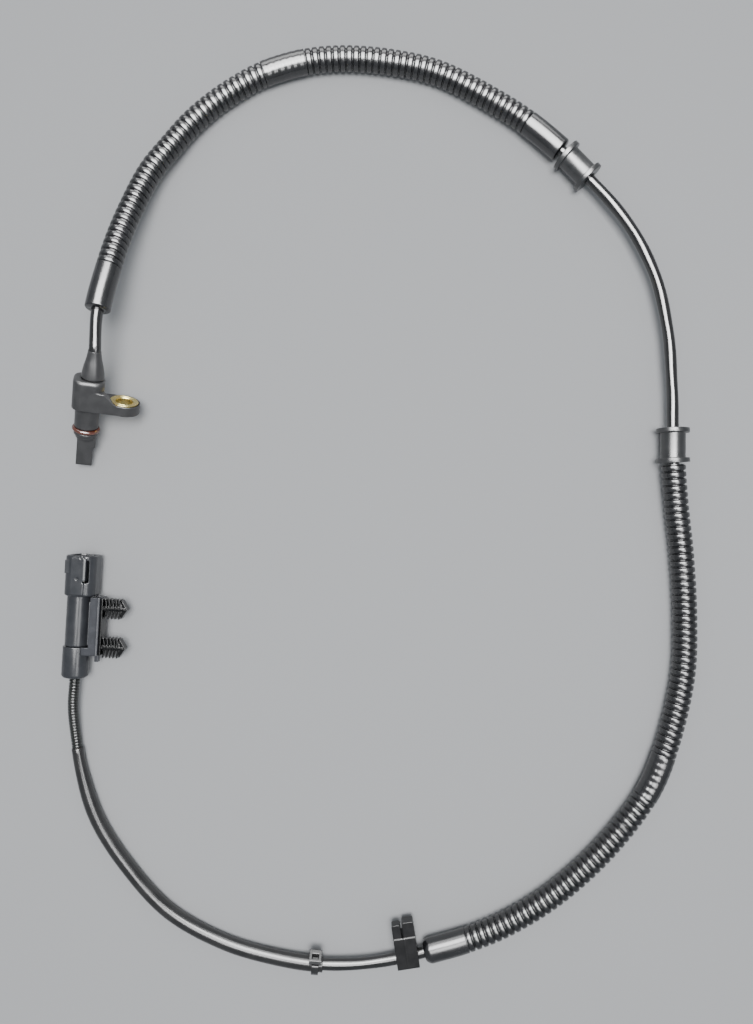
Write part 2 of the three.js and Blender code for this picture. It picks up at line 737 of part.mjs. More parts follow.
function connectorHousing() {
  const spigot = alongY(rod(spigotRadius, shellStart - spigotLength, shellStart + 1));
  const shell = alongY(rod(shellRadius, shellStart, collarStart + 1));
  const collarShape = roundedRectangle(collarWidth, collarHeight, collarCorner);
  const collar = alongY(prism(collarShape, collarStart, collarEnd).translate([collarOffset, 0, 0]));
  const cavityShape = roundedRectangle(
    collarWidth - 2 * collarWall, collarHeight - 2 * collarWall, collarCorner - collarWall);
  const cavity = alongY(prism(cavityShape, floorHeight, collarEnd + 1).translate([collarOffset, 0, 0]));
  const top = collarHeight / 2;
  const panel = box(
    [panelCentre - panelWidth / 2, collarStart + 0.6, top - 1],
    [panelCentre + panelWidth / 2, collarEnd - 0.6, top + panelHeight]);
  const left = collarOffset - collarWidth / 2;
  const key = box(
    [left + 0.3, collarEnd - slotMargin - keyLength, top - 4], [left + 0.3 + keyWidth, collarEnd - slotMargin, top - 0.9]);
  const slotShape = roundedRectangle(slotWidth, slotLength, slotWidth / 2 - 0.01);
  const slot = prism(slotShape, 0, top + 2)
    .translate([slotCentre, collarEnd - slotMargin - slotLength / 2, 0]);
  const neck = box(
    [0, shellStart + gap, -railNeck / 2], [retainerStart + 1, shellStart + gap + railLength, railNeck / 2]);
  const railFace = retainerStart + 1;
  const rail = box(
    [railFace, shellStart + gap, -railHead / 2], [railFace + railHeadThickness, shellStart + gap + railLength, railHead / 2]);
  const bore = alongY(rod(connectorBore, shellStart - spigotLength - 1, floorHeight + 1));
  return toGeometry(spigot.add(shell).add(collar).add(panel).add(key).add(neck).add(rail)
    .subtract(cavity).subtract(slot).subtract(bore));
}

function rearCap() {
  const bore = spigotRadius + gap;
  const mouth = ribbedRadius + gap;
  const profile = [
    [mouth, 0], [capRadius - capChamfer, 0], [capRadius, capChamfer], [capRadius, capLength],
    [bore, capLength], [bore, capWall], [mouth, capWall], [mouth, 0],
  ];
  return toGeometry(alongY(toSolid(turned(profile, 24))));
}

function wireSeal() {
  const body = rod(connectorBore - gap, sealStart, sealStart + sealLength, 20);
  const hole = rod(coreRadius + gap, sealStart - 1, sealStart + sealLength + 1, 10);
  const half = pinSpacing / 2;
  return toGeometry(alongY(body.subtract(hole.translate([half, 0, 0])).subtract(hole.translate([-half, 0, 0]))));
}

function terminalBlock() {
  const body = rod(connectorBore - gap, blockStart, blockStart + blockLength, 20);
  const hole = rod(pinRadius + gap, blockStart - 1, blockStart + blockLength + 1, 10);
  const half = pinSpacing / 2;
  return toGeometry(alongY(body.subtract(hole.translate([half, 0, 0])).subtract(hole.translate([-half, 0, 0]))));
}

function terminalPin(side) {
  const end = floorHeight + pinReach;
  const start = blockStart + coreInBlock + gap;
  const profile = [[0, start], [pinRadius, start], [pinRadius, end - pinRadius], [0, end]];
  return toGeometry(alongY(toSolid(turned(profile, 8))).translate([(side * pinSpacing) / 2, 0, 0]));
}

const retainerEnd = collarStart - gap;
const retainerBegin = retainerEnd - retainerLength;
const retainerBottom = -retainerHeight / 2 + 0.6;
const retainerOut = retainerStart + retainerThickness;

function retainer() {
  const plate = box(
    [retainerStart, retainerBegin, retainerBottom], [retainerOut, retainerEnd, retainerBottom + retainerHeight]);
  const foot = box(
    [retainerStart - footReach, retainerBegin, capRadius + gap - 2.6],
    [retainerStart + 1, retainerBegin + footLength, retainerBottom + retainerHeight]);
  const cap = alongY(rod(capRadius + gap, -1, capLength + 2 * gap, 24));
  const neckSlot = box(
    [retainerStart - 1, shellStart, -railNeck / 2 - gap], [retainerStart + 1, retainerEnd + 1, railNeck / 2 + gap]);
  const headSlot = box(
    [retainerStart + 1 - gap, shellStart, -railHead / 2 - gap],
    [retainerStart + 1 + railHeadThickness + gap, retainerEnd + 1, railHead / 2 + gap]);
  return toGeometry(plate.add(foot).subtract(cap).subtract(neckSlot).subtract(headSlot));
}

function firTreeShape() {
  const pitch = (treeLength - 2.2) / treeFins;
  const upper = [];
  for (let i = 0; i < treeFins; i += 1) {
    const start = i * pitch;
    upper.push([start, treeCore], [start + 0.2 * pitch, treeHalfWidth], [start + 0.55 * pitch, treeHalfWidth - 0.2]);
    upper.push([start + 0.9 * pitch, treeCore]);
  }
  upper.push([treeLength - 2.2, treeHalfWidth - 0.4], [treeLength, 0.3]);
  const lower = upper.slice().reverse().map(([x, y]) => [x, -y]);
  return new THREE.Shape([...upper, ...lower].map(([x, y]) => new THREE.Vector2(x, y)));
}

function firTreeMount() {
  const inside = retainerOut + gap;
  const middle = retainerBottom + retainerHeight / 2;
  const base = box(
    [inside, retainerBegin + gap, retainerBottom + retainerHeight - 0.4 - baseHeight],
    [inside + baseThickness, retainerEnd - gap, retainerBottom + retainerHeight - 0.4]);
  let mount = base;
  const first = retainerBegin + (retainerLength - treeSpacing) / 2 + treeShift;
  [first, first + treeSpacing].forEach((place) => {
    const tree = prism(firTreeShape(), -treeThickness / 2, treeThickness / 2);
    const rib = box(
      [-0.5, -treeRib / 2, -treeThickness / 2 - 0.4], [treeLength - 1.4, treeRib / 2, treeThickness / 2 + 0.4]);
    mount = mount.add(tree.add(rib).translate([inside + baseThickness - 0.05, place, middle]));
  });
  return toGeometry(mount);
}

connector.add(
  piece('connector_housing', connectorHousing(), slatePlastic),
  piece('connector_rear_cap', rearCap(), slatePlastic),
  piece('wire_seal', wireSeal(), sealRubber),
  piece('terminal_block', terminalBlock(), insertPlastic),
  piece('terminal_pin_left', terminalPin(-1), tinned),
  piece('terminal_pin_right', terminalPin(1), tinned),
  piece('connector_retainer', retainer(), slatePlastic),
  piece('fir_tree_mount', firTreeMount(), firTreeBlack));

// Everything together

const cablePath = new Stretch(-exitStation, jacketEnd);
const clipPlace = frameAtStation(clipCentre).place;
const clipHolder = placedOn(clipCentre, clipTurn, 0);
clipHolder.add(piece('cable_clip', cableClip(clipPlace.z), charcoal));

const tieHolder = placedOn(tieCentre, 0);
const tieMesh = piece('cable_tie', cableTie(), glossBlack);
tieMesh.rotation.x = -tieTurn;
tieHolder.add(tieMesh);

const group = new THREE.Group();
group.add(
  head,
  piece('cable', tube(cablePath, jacketEnd + exitStation, cableRadius, cableSides, cableStep), cableJacket),
  piece('conduit_front', conduit(frontConduit), glossBlack),
  piece('grommet_front', grommet(frontGrommetStart), greyRubber),
  piece('grommet_rear', grommet(rearGrommetStart), greyRubber),
  piece('conduit_rear', conduit(rearConduit), glossBlack),
  clipHolder,
  tieHolder,
  piece('cable_sleeve', sleeve(), mattBlack),
  piece('ribbed_tube', ribbedTube(), glossBlack),
  piece('tail_core_white', tailCore(-1), whiteInsulation),
  piece('tail_core_brown', tailCore(1), brownInsulation),
  connector);

export default group;
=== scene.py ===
import math

import bmesh
import bpy
from mathutils import Matrix, Vector


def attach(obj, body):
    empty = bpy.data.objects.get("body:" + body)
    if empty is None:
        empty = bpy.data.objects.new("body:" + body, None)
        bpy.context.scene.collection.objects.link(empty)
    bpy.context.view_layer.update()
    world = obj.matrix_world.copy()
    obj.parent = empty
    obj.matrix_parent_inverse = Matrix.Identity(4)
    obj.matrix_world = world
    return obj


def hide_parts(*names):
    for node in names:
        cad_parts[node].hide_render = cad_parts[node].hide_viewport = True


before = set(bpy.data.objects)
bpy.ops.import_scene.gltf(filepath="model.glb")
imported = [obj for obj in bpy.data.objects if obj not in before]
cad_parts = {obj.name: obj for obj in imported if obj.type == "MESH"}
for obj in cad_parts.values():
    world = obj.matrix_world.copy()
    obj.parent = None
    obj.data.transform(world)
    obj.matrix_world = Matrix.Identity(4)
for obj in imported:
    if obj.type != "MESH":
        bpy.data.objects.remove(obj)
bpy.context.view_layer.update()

# Shapes are worked out in millimetres and brought to metres when a piece is finished
toMetres = 0.001
upward = Vector((0, 0, 1))
onAxis = 1e-6  # a smaller radius is a point on the axis
sidesOf = {"wide": 96, "usual": 64, "bore": 48, "small": 24}  # of round shapes


def say(text):
    print(f"sensor: {text}")


# Camera straight above, as in the photograph

view = {"place": (0.1134, -0.0418, 0.331), "lens": 27.0, "sensor": 36.0}

cameraData = bpy.data.cameras.new("overheadCamera")
cameraData.lens = view["lens"]
cameraData.sensor_width = view["sensor"]
cameraData.sensor_fit = "AUTO"
cameraData.clip_start = 0.01
cameraData.clip_end = 20
camera = bpy.data.objects.new("overheadCamera", cameraData)
camera.location = view["place"]
bpy.context.scene.collection.objects.link(camera)
bpy.context.scene.camera = camera
say("camera ready")


# The cable's line, the same points as in the solid model

head = {
    "place": (-11.605, -20.591114, 3.088525),
    "pitch": math.radians(28),
    "yaw": math.radians(15.8),
    "roll": math.radians(22),
    "bodyEnd": 38.8,
    "jacketInside": 2.3,
    "bootStart": 39.1,
    "bootLength": 9.4,
    "bootOffset": 1.2,
    "straightAfterBoot": 2.5,
}
plug = {"place": (-13.8, -111.3, 7.2), "yaw": math.radians(-3.3), "tubeInCap": 3, "straightBeforeCap": 3}
tracing = {"spacing": 0.5, "fewestSteps": 4, "shortest": 1e-4, "tangentReach": 0.6}  # how a line is walked

layout = [
    (2.1, 38.1, 25), (5.1, 56.3, 21), (7.5, 68.2, 17.8), (11.5, 82.2, 14),
    (18.8, 100.6, 9.6), (26.8, 112.2, 7.4), (35, 122.5, 6), (43.4, 130.3, 5.3), (52, 136.4, 5.2),
    (64.9, 143.5, 5.2), (82.7, 148.9, 5.2), (99.5, 150.5, 5.2), (120.4, 148.8, 5.2), (139.9, 144.2, 5.2),
    (164, 131.8, 5.4), (177.1, 123, 6), (192, 110.1, 6.9), (202.9, 99, 7.1), (218.7, 80.4, 7.8),
    (230.2, 58.7, 8), (235.8, 35.4, 8), (238, 10.7, 7.3), (238.5, -5.3, 6.85), (238.6, -19.9, 6.8),
    (240.5, -39.7, 5.6), (242.8, -60, 5.2), (244.2, -87, 5.2), (243.2, -112.1, 5.2),
    (235.5, -143.9, 5.2), (227.9, -161.4, 5.2), (209.3, -185.4, 5.2), (187.7, -204.6, 5.2),
    (167.8, -216.7, 5.2), (152.7, -222.9, 5.2), (136.5, -227.6, 5.15), (125.5, -230.6, 4.8),
    (113.2, -233, 4.6), (100.8, -234, 4.55), (87.6, -233.8, 4.55),
    (70, -231.4, 3.7), (48.8, -225.4, 3.2), (25, -212.2, 3.2), (6.9, -192.6, 3.2), (-5.7, -172.8, 3.2),
    (-12.2, -153, 3.2), (-14.6, -137, 4), (-15, -124, 6),
]

headMatrix = (
    Matrix.Translation(head["place"])
    @ Matrix.Rotation(-head["yaw"], 4, "Z")
    @ Matrix.Rotation(head["pitch"] - math.pi / 2, 4, "X")
    @ Matrix.Rotation(head["roll"], 4, "Z")
)
plugMatrix = Matrix.Translation(plug["place"]) @ Matrix.Rotation(plug["yaw"], 4, "Z")


# The cable's centre line, with places found by their distance from the boot's mouth
class Route:

    def __init__(self, points, exitDistance):
        dense = []
        count = len(points)
        for i in range(count - 1):
            before = points[i - 1] if i else points[0] * 2 - points[1]
            after = points[i + 2] if i + 2 < count else points[-1] * 2 - points[-2]
            length = (points[i + 1] - points[i]).length
            steps = max(tracing["fewestSteps"], round(length / tracing["spacing"]))
            for step in range(steps):
                dense.append(self.between(before, points[i], points[i + 1], after, step / steps))
        dense.append(points[-1])
        self.points = dense
        self.distances = [0.0]
        for a, b in zip(dense, dense[1:]):
            self.distances.append(self.distances[-1] + (b - a).length)
        self.exitDistance = exitDistance
        self.end = self.distances[-1] - exitDistance

    @staticmethod
    def between(p0, p1, p2, p3, t):
        knots = ((p0, p1), (p1, p2), (p2, p3))
        spans = [max((b - a).length_squared ** 0.25, tracing["shortest"]) for a, b in knots]
        first = (p1 - p0) / spans[0] - (p2 - p0) / (spans[0] + spans[1]) + (p2 - p1) / spans[1]
        second = (p2 - p1) / spans[1] - (p3 - p1) / (spans[1] + spans[2]) + (p3 - p2) / spans[2]
        first = first * spans[1]
        second = second * spans[1]
        square = p2 * 3 - p1 * 3 - first * 2 - second
        cube = p1 * 2 - p2 * 2 + first + second
        return p1 + first * t + square * t * t + cube * t * t * t

    def at(self, station):
        target = min(max(station + self.exitDistance, 0), self.distances[-1])
        low, high = 0, len(self.distances) - 1
        while high - low > 1:
            middle = (low + high) // 2
            if self.distances[middle] <= target:
                low = middle
            else:
                high = middle
        share = (target - self.distances[low]) / (self.distances[high] - self.distances[low])
        return self.points[low].lerp(self.points[high], share)

    def frameAt(self, station):
        place = self.at(station)
        reach = tracing["tangentReach"]
        tangent = (self.at(station + reach) - self.at(station - reach)).normalized()
        side = tangent.cross(upward).normalized()
        return place, tangent, side, side.cross(tangent)


def onHead(x, y, z):
    return headMatrix @ Vector((x, y, z))


def onPlug(x, y, z):
    return plugMatrix @ Vector((x, y, z))


bootExit = head["bootStart"] + head["bootLength"]
route = Route(
    [
        onHead(head["bootOffset"], 0, head["bodyEnd"] - head["jacketInside"]),
        onHead(head["bootOffset"], 0, head["bodyEnd"] + head["bootLength"] / 2),
        onHead(head["bootOffset"], 0, bootExit),
        onHead(head["bootOffset"], 0, bootExit + head["straightAfterBoot"]),
        *[Vector(point) for point in layout],
        onPlug(0, -plug["straightBeforeCap"], 0),
        onPlug(0, 0, 0),
        onPlug(0, plug["tubeInCap"], 0),
    ],
    bootExit - head["bodyEnd"] + head["jacketInside"],
)
say(f"cable line {route.end:.1f} mm from boot to plug")


# Node trees: arithmetic on sockets, and one way to add any other node

class Value:
    def __init__(self, tree, socket):
        self.tree = tree
        self.socket = socket
        self.node = socket.node

    def out(self, name):
        return Value(self.tree, self.node.outputs[name])

    def maths(self, operation, *others):
        return self.tree.add("ShaderNodeMath", {"operation": operation}, dict(enumerate((self, *others))))

    def __add__(self, other):
        return self.maths("ADD", other)

    def __radd__(self, other):
        return self.maths("ADD", other)

    def __sub__(self, other):
        return self.maths("SUBTRACT", other)

    def __rsub__(self, other):
        return self.tree.add("ShaderNodeMath", {"operation": "SUBTRACT"}, {0: other, 1: self})

    def __mul__(self, other):
        return self.maths("MULTIPLY", other)

    def __rmul__(self, other):
        return self.maths("MULTIPLY", other)

    def __truediv__(self, other):
        return self.maths("DIVIDE", other)

    def __rtruediv__(self, other):
        return self.tree.add("ShaderNodeMath", {"operation": "DIVIDE"}, {0: other, 1: self})

    def __pow__(self, other):
        return self.maths("POWER", other)

    def __gt__(self, other):
        return self.maths("GREATER_THAN", other)

    def __lt__(self, other):
        return self.maths("LESS_THAN", other)

    def fraction(self):
        return self.maths("FRACT")

    def least(self, other):
        return self.maths("MINIMUM", other)

    def most(self, other):
        return self.maths("MAXIMUM", other)

    def sine(self):
        return self.maths("SINE")

    def eased(self, low, high, start=0.0, end=1.0):
        return self.tree.add(
            "ShaderNodeMapRange", {"interpolation_type": "SMOOTHSTEP"},
            {"Value": self, "From Min": low, "From Max": high, "To Min": start, "To Max": end})


class Tree:
    def __init__(self, nodeTree):
        self.nodeTree = nodeTree

    def add(self, kind, settings=None, values=None, output=0):
        node = self.nodeTree.nodes.new(kind)
        for key, setting in (settings or {}).items():
            setattr(node, key, setting)
        for key, value in (values or {}).items():
            self.feed(node.inputs[key], value)
        return Value(self, node.outputs[output]) if len(node.outputs) else node

    def feed(self, socket, value):
        if isinstance(value, Value):
            self.nodeTree.links.new(value.socket, socket)
        elif isinstance(value, (list, tuple)) and isinstance(value[0], Value):
            for part in value:
                self.nodeTree.links.new(part.socket, socket)
        else:
            socket.default_value = value


# Materials

def shaded(name):
    material = bpy.data.materials.new(name)
    material.use_nodes = True
    material.node_tree.nodes.clear()
    return material, Tree(material.node_tree)


def noise(tree, place, size, detail, roughness):
    return tree.add("ShaderNodeTexNoise", {}, {
        "Vector": place, "Scale": 1 / (size * toMetres), "Detail": detail, "Roughness": roughness})


def blended(tree, factor, first, second):
    return tree.add("ShaderNodeMix", {"data_type": "RGBA"}, {0: factor, 6: first, 7: second}, 2)


# What every finish shares, unless its own entry below says otherwise; sizes are in millimetres
sharedLook = {
    "roughnessShift": 0.12, "cloudSize": 4, "cloudEdge": (0.35, 0.65), "grainSize": 0.2, "grainDepth": 0.012,
    "grainGloss": 0.08, "speckSize": 0.5, "speckEdge": (0.66, 0.78), "dust": 0.12, "dustRoughness": 0.5,
    "dustColour": (0.25, 0.25, 0.26), "metallic": 0.0, "ior": 1.47, "specular": 0.5, "along": False,
}
textures = {"cloud": (3.0, 0.5), "grain": (2.0, 0.6), "speck": (4.0, 0.7)}  # detail, roughness


# A moulded or extruded surface: base colour with cloudy shifts, dust, and fine grain as a soft bump
def surfaceMaterial(name, ownLook):
    look = {**sharedLook, **ownLook}
    material, tree = shaded(name)
    if look["along"]:
        place = tree.add("ShaderNodeAttribute", {"attribute_name": "straight"}, output=1)
    else:
        place = tree.add("ShaderNodeTexCoord", output=3)
    cloud = noise(tree, place, look["cloudSize"], *textures["cloud"])
    grain = noise(tree, place, look["grainSize"], *textures["grain"])
    specks = noise(tree, place, look["speckSize"], *textures["speck"])
    dusty = specks.eased(*look["speckEdge"]) * look["dust"]

    colour = blended(tree, cloud.eased(*look["cloudEdge"]), (*look["colour"], 1), (*look["colourShift"], 1))
    colour = blended(tree, dusty, colour, (*look["dustColour"], 1))
    roughness = look["roughness"] + (cloud - 0.5) * look["roughnessShift"]
    roughness = roughness + (grain - 0.5) * look["grainGloss"] + dusty * look["dustRoughness"]
    height = (grain - 0.5) * look["grainDepth"]
    bump = tree.add("ShaderNodeBump", {}, {"Strength": 1.0, "Distance": toMetres, "Height": height})
    shader = tree.add("ShaderNodeBsdfPrincipled", {}, {
        "Base Color": colour, "Roughness": roughness, "Normal": bump, "Metallic": look["metallic"],
        "IOR": look["ior"], "Specular IOR Level": look["specular"]})
    tree.add("ShaderNodeOutputMaterial", {}, {"Surface": shader})
    return material


looks = {
    "charcoal": {
        "colour": (0.031, 0.031, 0.033), "colourShift": (0.041, 0.041, 0.043), "roughness": 0.4,
        "grainSize": 0.18, "grainDepth": 0.016, "specular": 0.8},
    "boot": {
        "colour": (0.034, 0.034, 0.036), "colourShift": (0.043, 0.043, 0.045), "roughness": 0.35,
        "cloudSize": 3, "grainSize": 0.18, "grainDepth": 0.015, "specular": 0.9},
    "slate": {
        "colour": (0.04, 0.0425, 0.049), "colourShift": (0.049, 0.052, 0.059), "roughness": 0.24,
        "cloudSize": 5},
    "slateLight": {
        "colour": (0.062, 0.065, 0.075), "colourShift": (0.074, 0.077, 0.088), "roughness": 0.26,
        "specular": 0.4},
    "conduit": {
        "colour": (0.007, 0.0072, 0.0085), "colourShift": (0.011, 0.0112, 0.0135), "roughness": 0.24,
        "roughnessShift": 0.14, "cloudSize": 6, "grainSize": 0.25, "grainDepth": 0.006, "dust": 0.1,
        "speckSize": 0.4, "ior": 1.8},
    "ribbed": {
        "colour": (0.0075, 0.0095, 0.0085), "colourShift": (0.012, 0.015, 0.013), "roughness": 0.22,
        "grainDepth": 0.005, "dust": 0.08, "ior": 1.8},
    "jacket": {
        "colour": (0.0065, 0.0067, 0.0072), "colourShift": (0.0105, 0.0107, 0.0113), "roughness": 0.18,
        "roughnessShift": 0.1, "cloudSize": 5, "grainSize": 0.3, "grainDepth": 0.005, "along": True,
        "ior": 1.8},
    "sleeve": {
        "colour": (0.017, 0.0168, 0.0172), "colourShift": (0.026, 0.0255, 0.0258), "roughness": 0.23,
        "roughnessShift": 0.14, "cloudSize": 6, "grainSize": 0.25, "dust": 0.2, "along": True,
        "ior": 1.7},
    "grommet": {
        "colour": (0.02, 0.0212, 0.0228), "colourShift": (0.028, 0.0292, 0.031), "roughness": 0.3,
        "roughnessShift": 0.14, "cloudSize": 3, "dust": 0.16, "along": True, "ior": 1.75},
    "clip": {
        "colour": (0.019, 0.019, 0.02), "colourShift": (0.026, 0.0257, 0.0267), "roughness": 0.24,
        "dust": 0.1, "specular": 0.45},
    "tie": {
        "colour": (0.008, 0.0082, 0.009), "colourShift": (0.012, 0.012, 0.013), "roughness": 0.18,
        "roughnessShift": 0.1, "cloudSize": 3, "grainDepth": 0.004, "dust": 0.08, "ior": 1.9},
    "tree": {
        "colour": (0.0045, 0.0047, 0.0052), "colourShift": (0.008, 0.0083, 0.009), "roughness": 0.16,
        "roughnessShift": 0.08, "cloudSize": 3, "grainDepth": 0.004, "dust": 0.06, "specular": 0.45},
    "zinc": {
        "colour": (0.66, 0.5, 0.2), "colourShift": (0.52, 0.47, 0.2), "roughness": 0.28,
        "roughnessShift": 0.16, "cloudSize": 1.6, "grainSize": 0.12, "grainDepth": 0.008, "dust": 0.1,
        "metallic": 1.0, "dustColour": (0.4, 0.34, 0.2)},
    "seal": {
        "colour": (0.12, 0.032, 0.018), "colourShift": (0.16, 0.042, 0.024), "roughness": 0.16,
        "roughnessShift": 0.08, "cloudSize": 2, "grainDepth": 0.004, "dust": 0.06, "ior": 1.9},
    "insert": {
        "colour": (0.022, 0.023, 0.026), "colourShift": (0.028, 0.029, 0.032), "roughness": 0.55,
        "roughnessShift": 0.1, "cloudSize": 3, "grainDepth": 0.01, "dust": 0.05},
    "magnet": {
        "colour": (0.26, 0.27, 0.28), "colourShift": (0.3, 0.3, 0.31), "roughness": 0.4,
        "roughnessShift": 0.1, "cloudSize": 2, "grainSize": 0.1, "grainDepth": 0.01, "dust": 0.05,
        "metallic": 1.0},
    "tinned": {
        "colour": (0.5, 0.49, 0.45), "colourShift": (0.57, 0.56, 0.52), "roughness": 0.26, "cloudSize": 2,
        "grainSize": 0.1, "grainDepth": 0.004, "dust": 0.05, "metallic": 1.0},
    "coreWhite": {
        "colour": (0.66, 0.65, 0.61), "colourShift": (0.72, 0.71, 0.67), "roughness": 0.4,
        "roughnessShift": 0.08, "cloudSize": 3, "grainDepth": 0.004, "dust": 0.05},
    "coreBrown": {
        "colour": (0.1, 0.042, 0.019), "colourShift": (0.12, 0.05, 0.024), "roughness": 0.4,
        "roughnessShift": 0.08, "cloudSize": 3, "grainDepth": 0.004, "dust": 0.05},
}
materials = {name: surfaceMaterial(name, look) for name, look in looks.items()}
say("materials ready")


# Making and finishing meshes

def newObject(name, mesh):
    thing = bpy.data.objects.new(name, mesh)
    bpy.context.scene.collection.objects.link(thing)
    return thing


def fromBmesh(name, shape):
    mesh = bpy.data.meshes.new(name)
    shape.to_mesh(mesh)
    shape.free()
    return newObject(name, mesh)


# Turns what the modifiers make into the object's own plain mesh
def settle(thing):
    graph = bpy.context.evaluated_depsgraph_get()
    graph.update()
    result = bpy.data.meshes.new_from_object(thing.evaluated_get(graph), depsgraph=graph)
    thing.modifiers.clear()
    old = thing.data
    thing.data = result
    result.name = thing.name
    if isinstance(old, bpy.types.Mesh) and old.users == 0:
        bpy.data.meshes.remove(old)
    return thing


def discard(things):
    for thing in things:
        mesh = thing.data
        bpy.data.objects.remove(thing)
        bpy.data.meshes.remove(mesh)


def finishPiece(thing, material, slot, *nodes, matrix=Matrix.Identity(4)):
    mesh = thing.data
    mesh.transform(Matrix.Scale(toMetres, 4) @ matrix)
    mesh.shade_smooth()
    if material is not None:
        mesh.materials.clear()
        mesh.materials.append(materials[material])
    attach(thing, "root")
    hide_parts(*nodes)
    return thing


# A closed shape with its faces turned outwards
def outwardObject(name, shape):
    bmesh.ops.recalc_face_normals(shape, faces=shape.faces)
    return fromBmesh(name, shape)


def boxLump(low, high):
    shape = bmesh.new()
    bmesh.ops.create_cube(shape, size=1)
    middle = [(a + b) / 2 for a, b in zip(low, high)]
    size = [b - a for a, b in zip(low, high)]
    for vertex in shape.verts:
        vertex.co = Vector([m + c * s for m, c, s in zip(middle, vertex.co, size)])
    return fromBmesh("lump", shape)


# Joins rings of vertices with faces; a ring of one vertex is a point on the axis
def skin(shape, rings, closed=False):
    pairs = list(zip(rings, rings[1:]))
    if closed:
        pairs.append((rings[-1], rings[0]))
    for low, high in pairs:
        sides = max(len(low), len(high))
        for i in range(sides):
            j = (i + 1) % sides
            if len(low) == 1:
                shape.faces.new((low[0], high[j], high[i]))
            elif len(high) == 1:
                shape.faces.new((low[i], low[j], high[0]))
            else:
                shape.faces.new((low[i], low[j], high[j], high[i]))


# A shape turned about Z from (radius, height) pairs; an open profile starts and ends on the axis
def turnedMesh(name, profile, sides, closed=False, centre=(0, 0)):
    shape = bmesh.new()
    rings = []
    for radius, height in profile:
        ring = []
        for i in range(sides if radius > onAxis else 1):
            angle = 2 * math.pi * i / sides
            ring.append(shape.verts.new(
                (centre[0] + radius * math.cos(angle), centre[1] + radius * math.sin(angle), height)))
        rings.append(ring)
    skin(shape, rings, closed)
    return outwardObject(name, shape)


def rodLump(radius, low, high, sides=sidesOf["usual"], centre=(0, 0)):
    return turnedMesh("lump", [(0, low), (radius, low), (radius, high), (0, high)], sides, centre=centre)


def prismLump(outline, low, high):
    shape = bmesh.new()
    bottom = [shape.verts.new((x, y, low)) for x, y in outline]
    top = [shape.verts.new((x, y, high)) for x, y in outline]
    shape.faces.new(bottom[::-1])
    shape.faces.new(top)
    skin(shape, [bottom, top])
    return outwardObject("lump", shape)


def roundedOutline(width, depth, corner, centre=(0, 0), steps=10):
    points = []
    for turn, (sx, sy) in enumerate(((1, -1), (1, 1), (-1, 1), (-1, -1))):
        x = centre[0] + sx * (width / 2 - corner)
        y = centre[1] + sy * (depth / 2 - corner)
        for i in range(steps + 1):
            angle = math.pi / 2 * (turn - 1 + i / steps)
            points.append((x + corner * math.cos(angle), y + corner * math.sin(angle)))
    return points


def moved(lump, offset=(0, 0, 0), matrix=Matrix.Identity(4)):
    lump.data.transform(Matrix.Translation(offset) @ matrix)
    return lump


# Turns that lay an upright lump along another axis
alongX = Matrix.Rotation(math.pi / 2, 4, "Y")
alongY = Matrix.Rotation(-math.pi / 2, 4, "X")
fromBack = Matrix.Rotation(math.pi / 2, 4, "X")
fromSide = Matrix(((0, 0, 1, 0), (1, 0, 0, 0), (0, 1, 0, 0), (0, 0, 0, 1)))


# Rounds the corners of a profile or outline; size is one number, or one for each corner
def softened(points, size, closed=True, steps=4, edgeShare=0.48):
    sizes = size if isinstance(size, (list, tuple)) else [size] * len(points)
    result = []
    count = len(points)
    for i, point in enumerate(points):
        here = Vector(point)
        if sizes[i] <= 0 or (not closed and i in (0, count - 1)):
            result.append(tuple(here))
            continue
        before = Vector(points[i - 1]) - here
        after = Vector(points[(i + 1) % count]) - here
        reach = min(sizes[i], before.length * edgeShare, after.length * edgeShare)
        start = here + before.normalized() * reach
        end = here + after.normalized() * reach
        for step in range(steps + 1):
            t = step / steps
            result.append(tuple(start * (1 - t) ** 2 + here * 2 * t * (1 - t) + end * t * t))
    return result


# One moulded piece: lumps joined, cuts taken away, then its edges rounded as a mould leaves them
def moulded(name, lumps, cuts=(), grid=0.2, smoothing=4):
    base, *others = lumps
    base.name = name
    for operation, tools in (("UNION", others), ("DIFFERENCE", cuts)):
        for tool in tools:
            step = base.modifiers.new(operation, "BOOLEAN")
            step.operation = operation
            step.solver = "MANIFOLD"
            step.object = tool
    remesh = base.modifiers.new("mould", "REMESH")
    remesh.mode = "VOXEL"
    remesh.voxel_size = grid
    remesh.use_smooth_shade = True
    smooth = base.modifiers.new("edges", "SMOOTH")
    smooth.factor = 0.5
    smooth.iterations = smoothing
    settle(base)
    discard([*others, *cuts])
    return base


# A turned wall bent along the route. Its profile is (radius, station) pairs, and swell shifts the radius
def hoseMesh(name, profile, sides, closed=True, swell=None):
    shape = bmesh.new()
    straight = shape.verts.layers.float_vector.new("straight")
    rings = []
    for radius, station in profile:
        place, tangent, side, up = route.frameAt(station)
        ring = []
        for i in range(sides if radius > onAxis else 1):
            angle = 2 * math.pi * i / sides
            reach = radius + (swell(station, angle) if swell and radius > onAxis else 0)
            vertex = shape.verts.new(place + side * reach * math.cos(angle) + up * reach * math.sin(angle))
            vertex[straight] = Vector((reach * math.cos(angle), reach * math.sin(angle), station)) * toMetres
            ring.append(vertex)
        rings.append(ring)
    skin(shape, rings, closed)
    return outwardObject(name, shape)


def stationsBetween(start, end, step):
    count = max(1, round((end - start) / step))
    return [start + (end - start) * i / count for i in range(count + 1)]


# The cable: its jacket as far as the sleeve, then its two cores on to the plug

tail = {"ribbedLength": 34, "gap": 0.3, "jacketEndInSleeve": 34, "sleeveStart": 739.5}
tail["ribbedStart"] = route.end - tail["ribbedLength"]
tail["sleeveEnd"] = tail["ribbedStart"] - tail["gap"]
tail["jacketEnd"] = tail["sleeveEnd"] - tail["jacketEndInSleeve"]

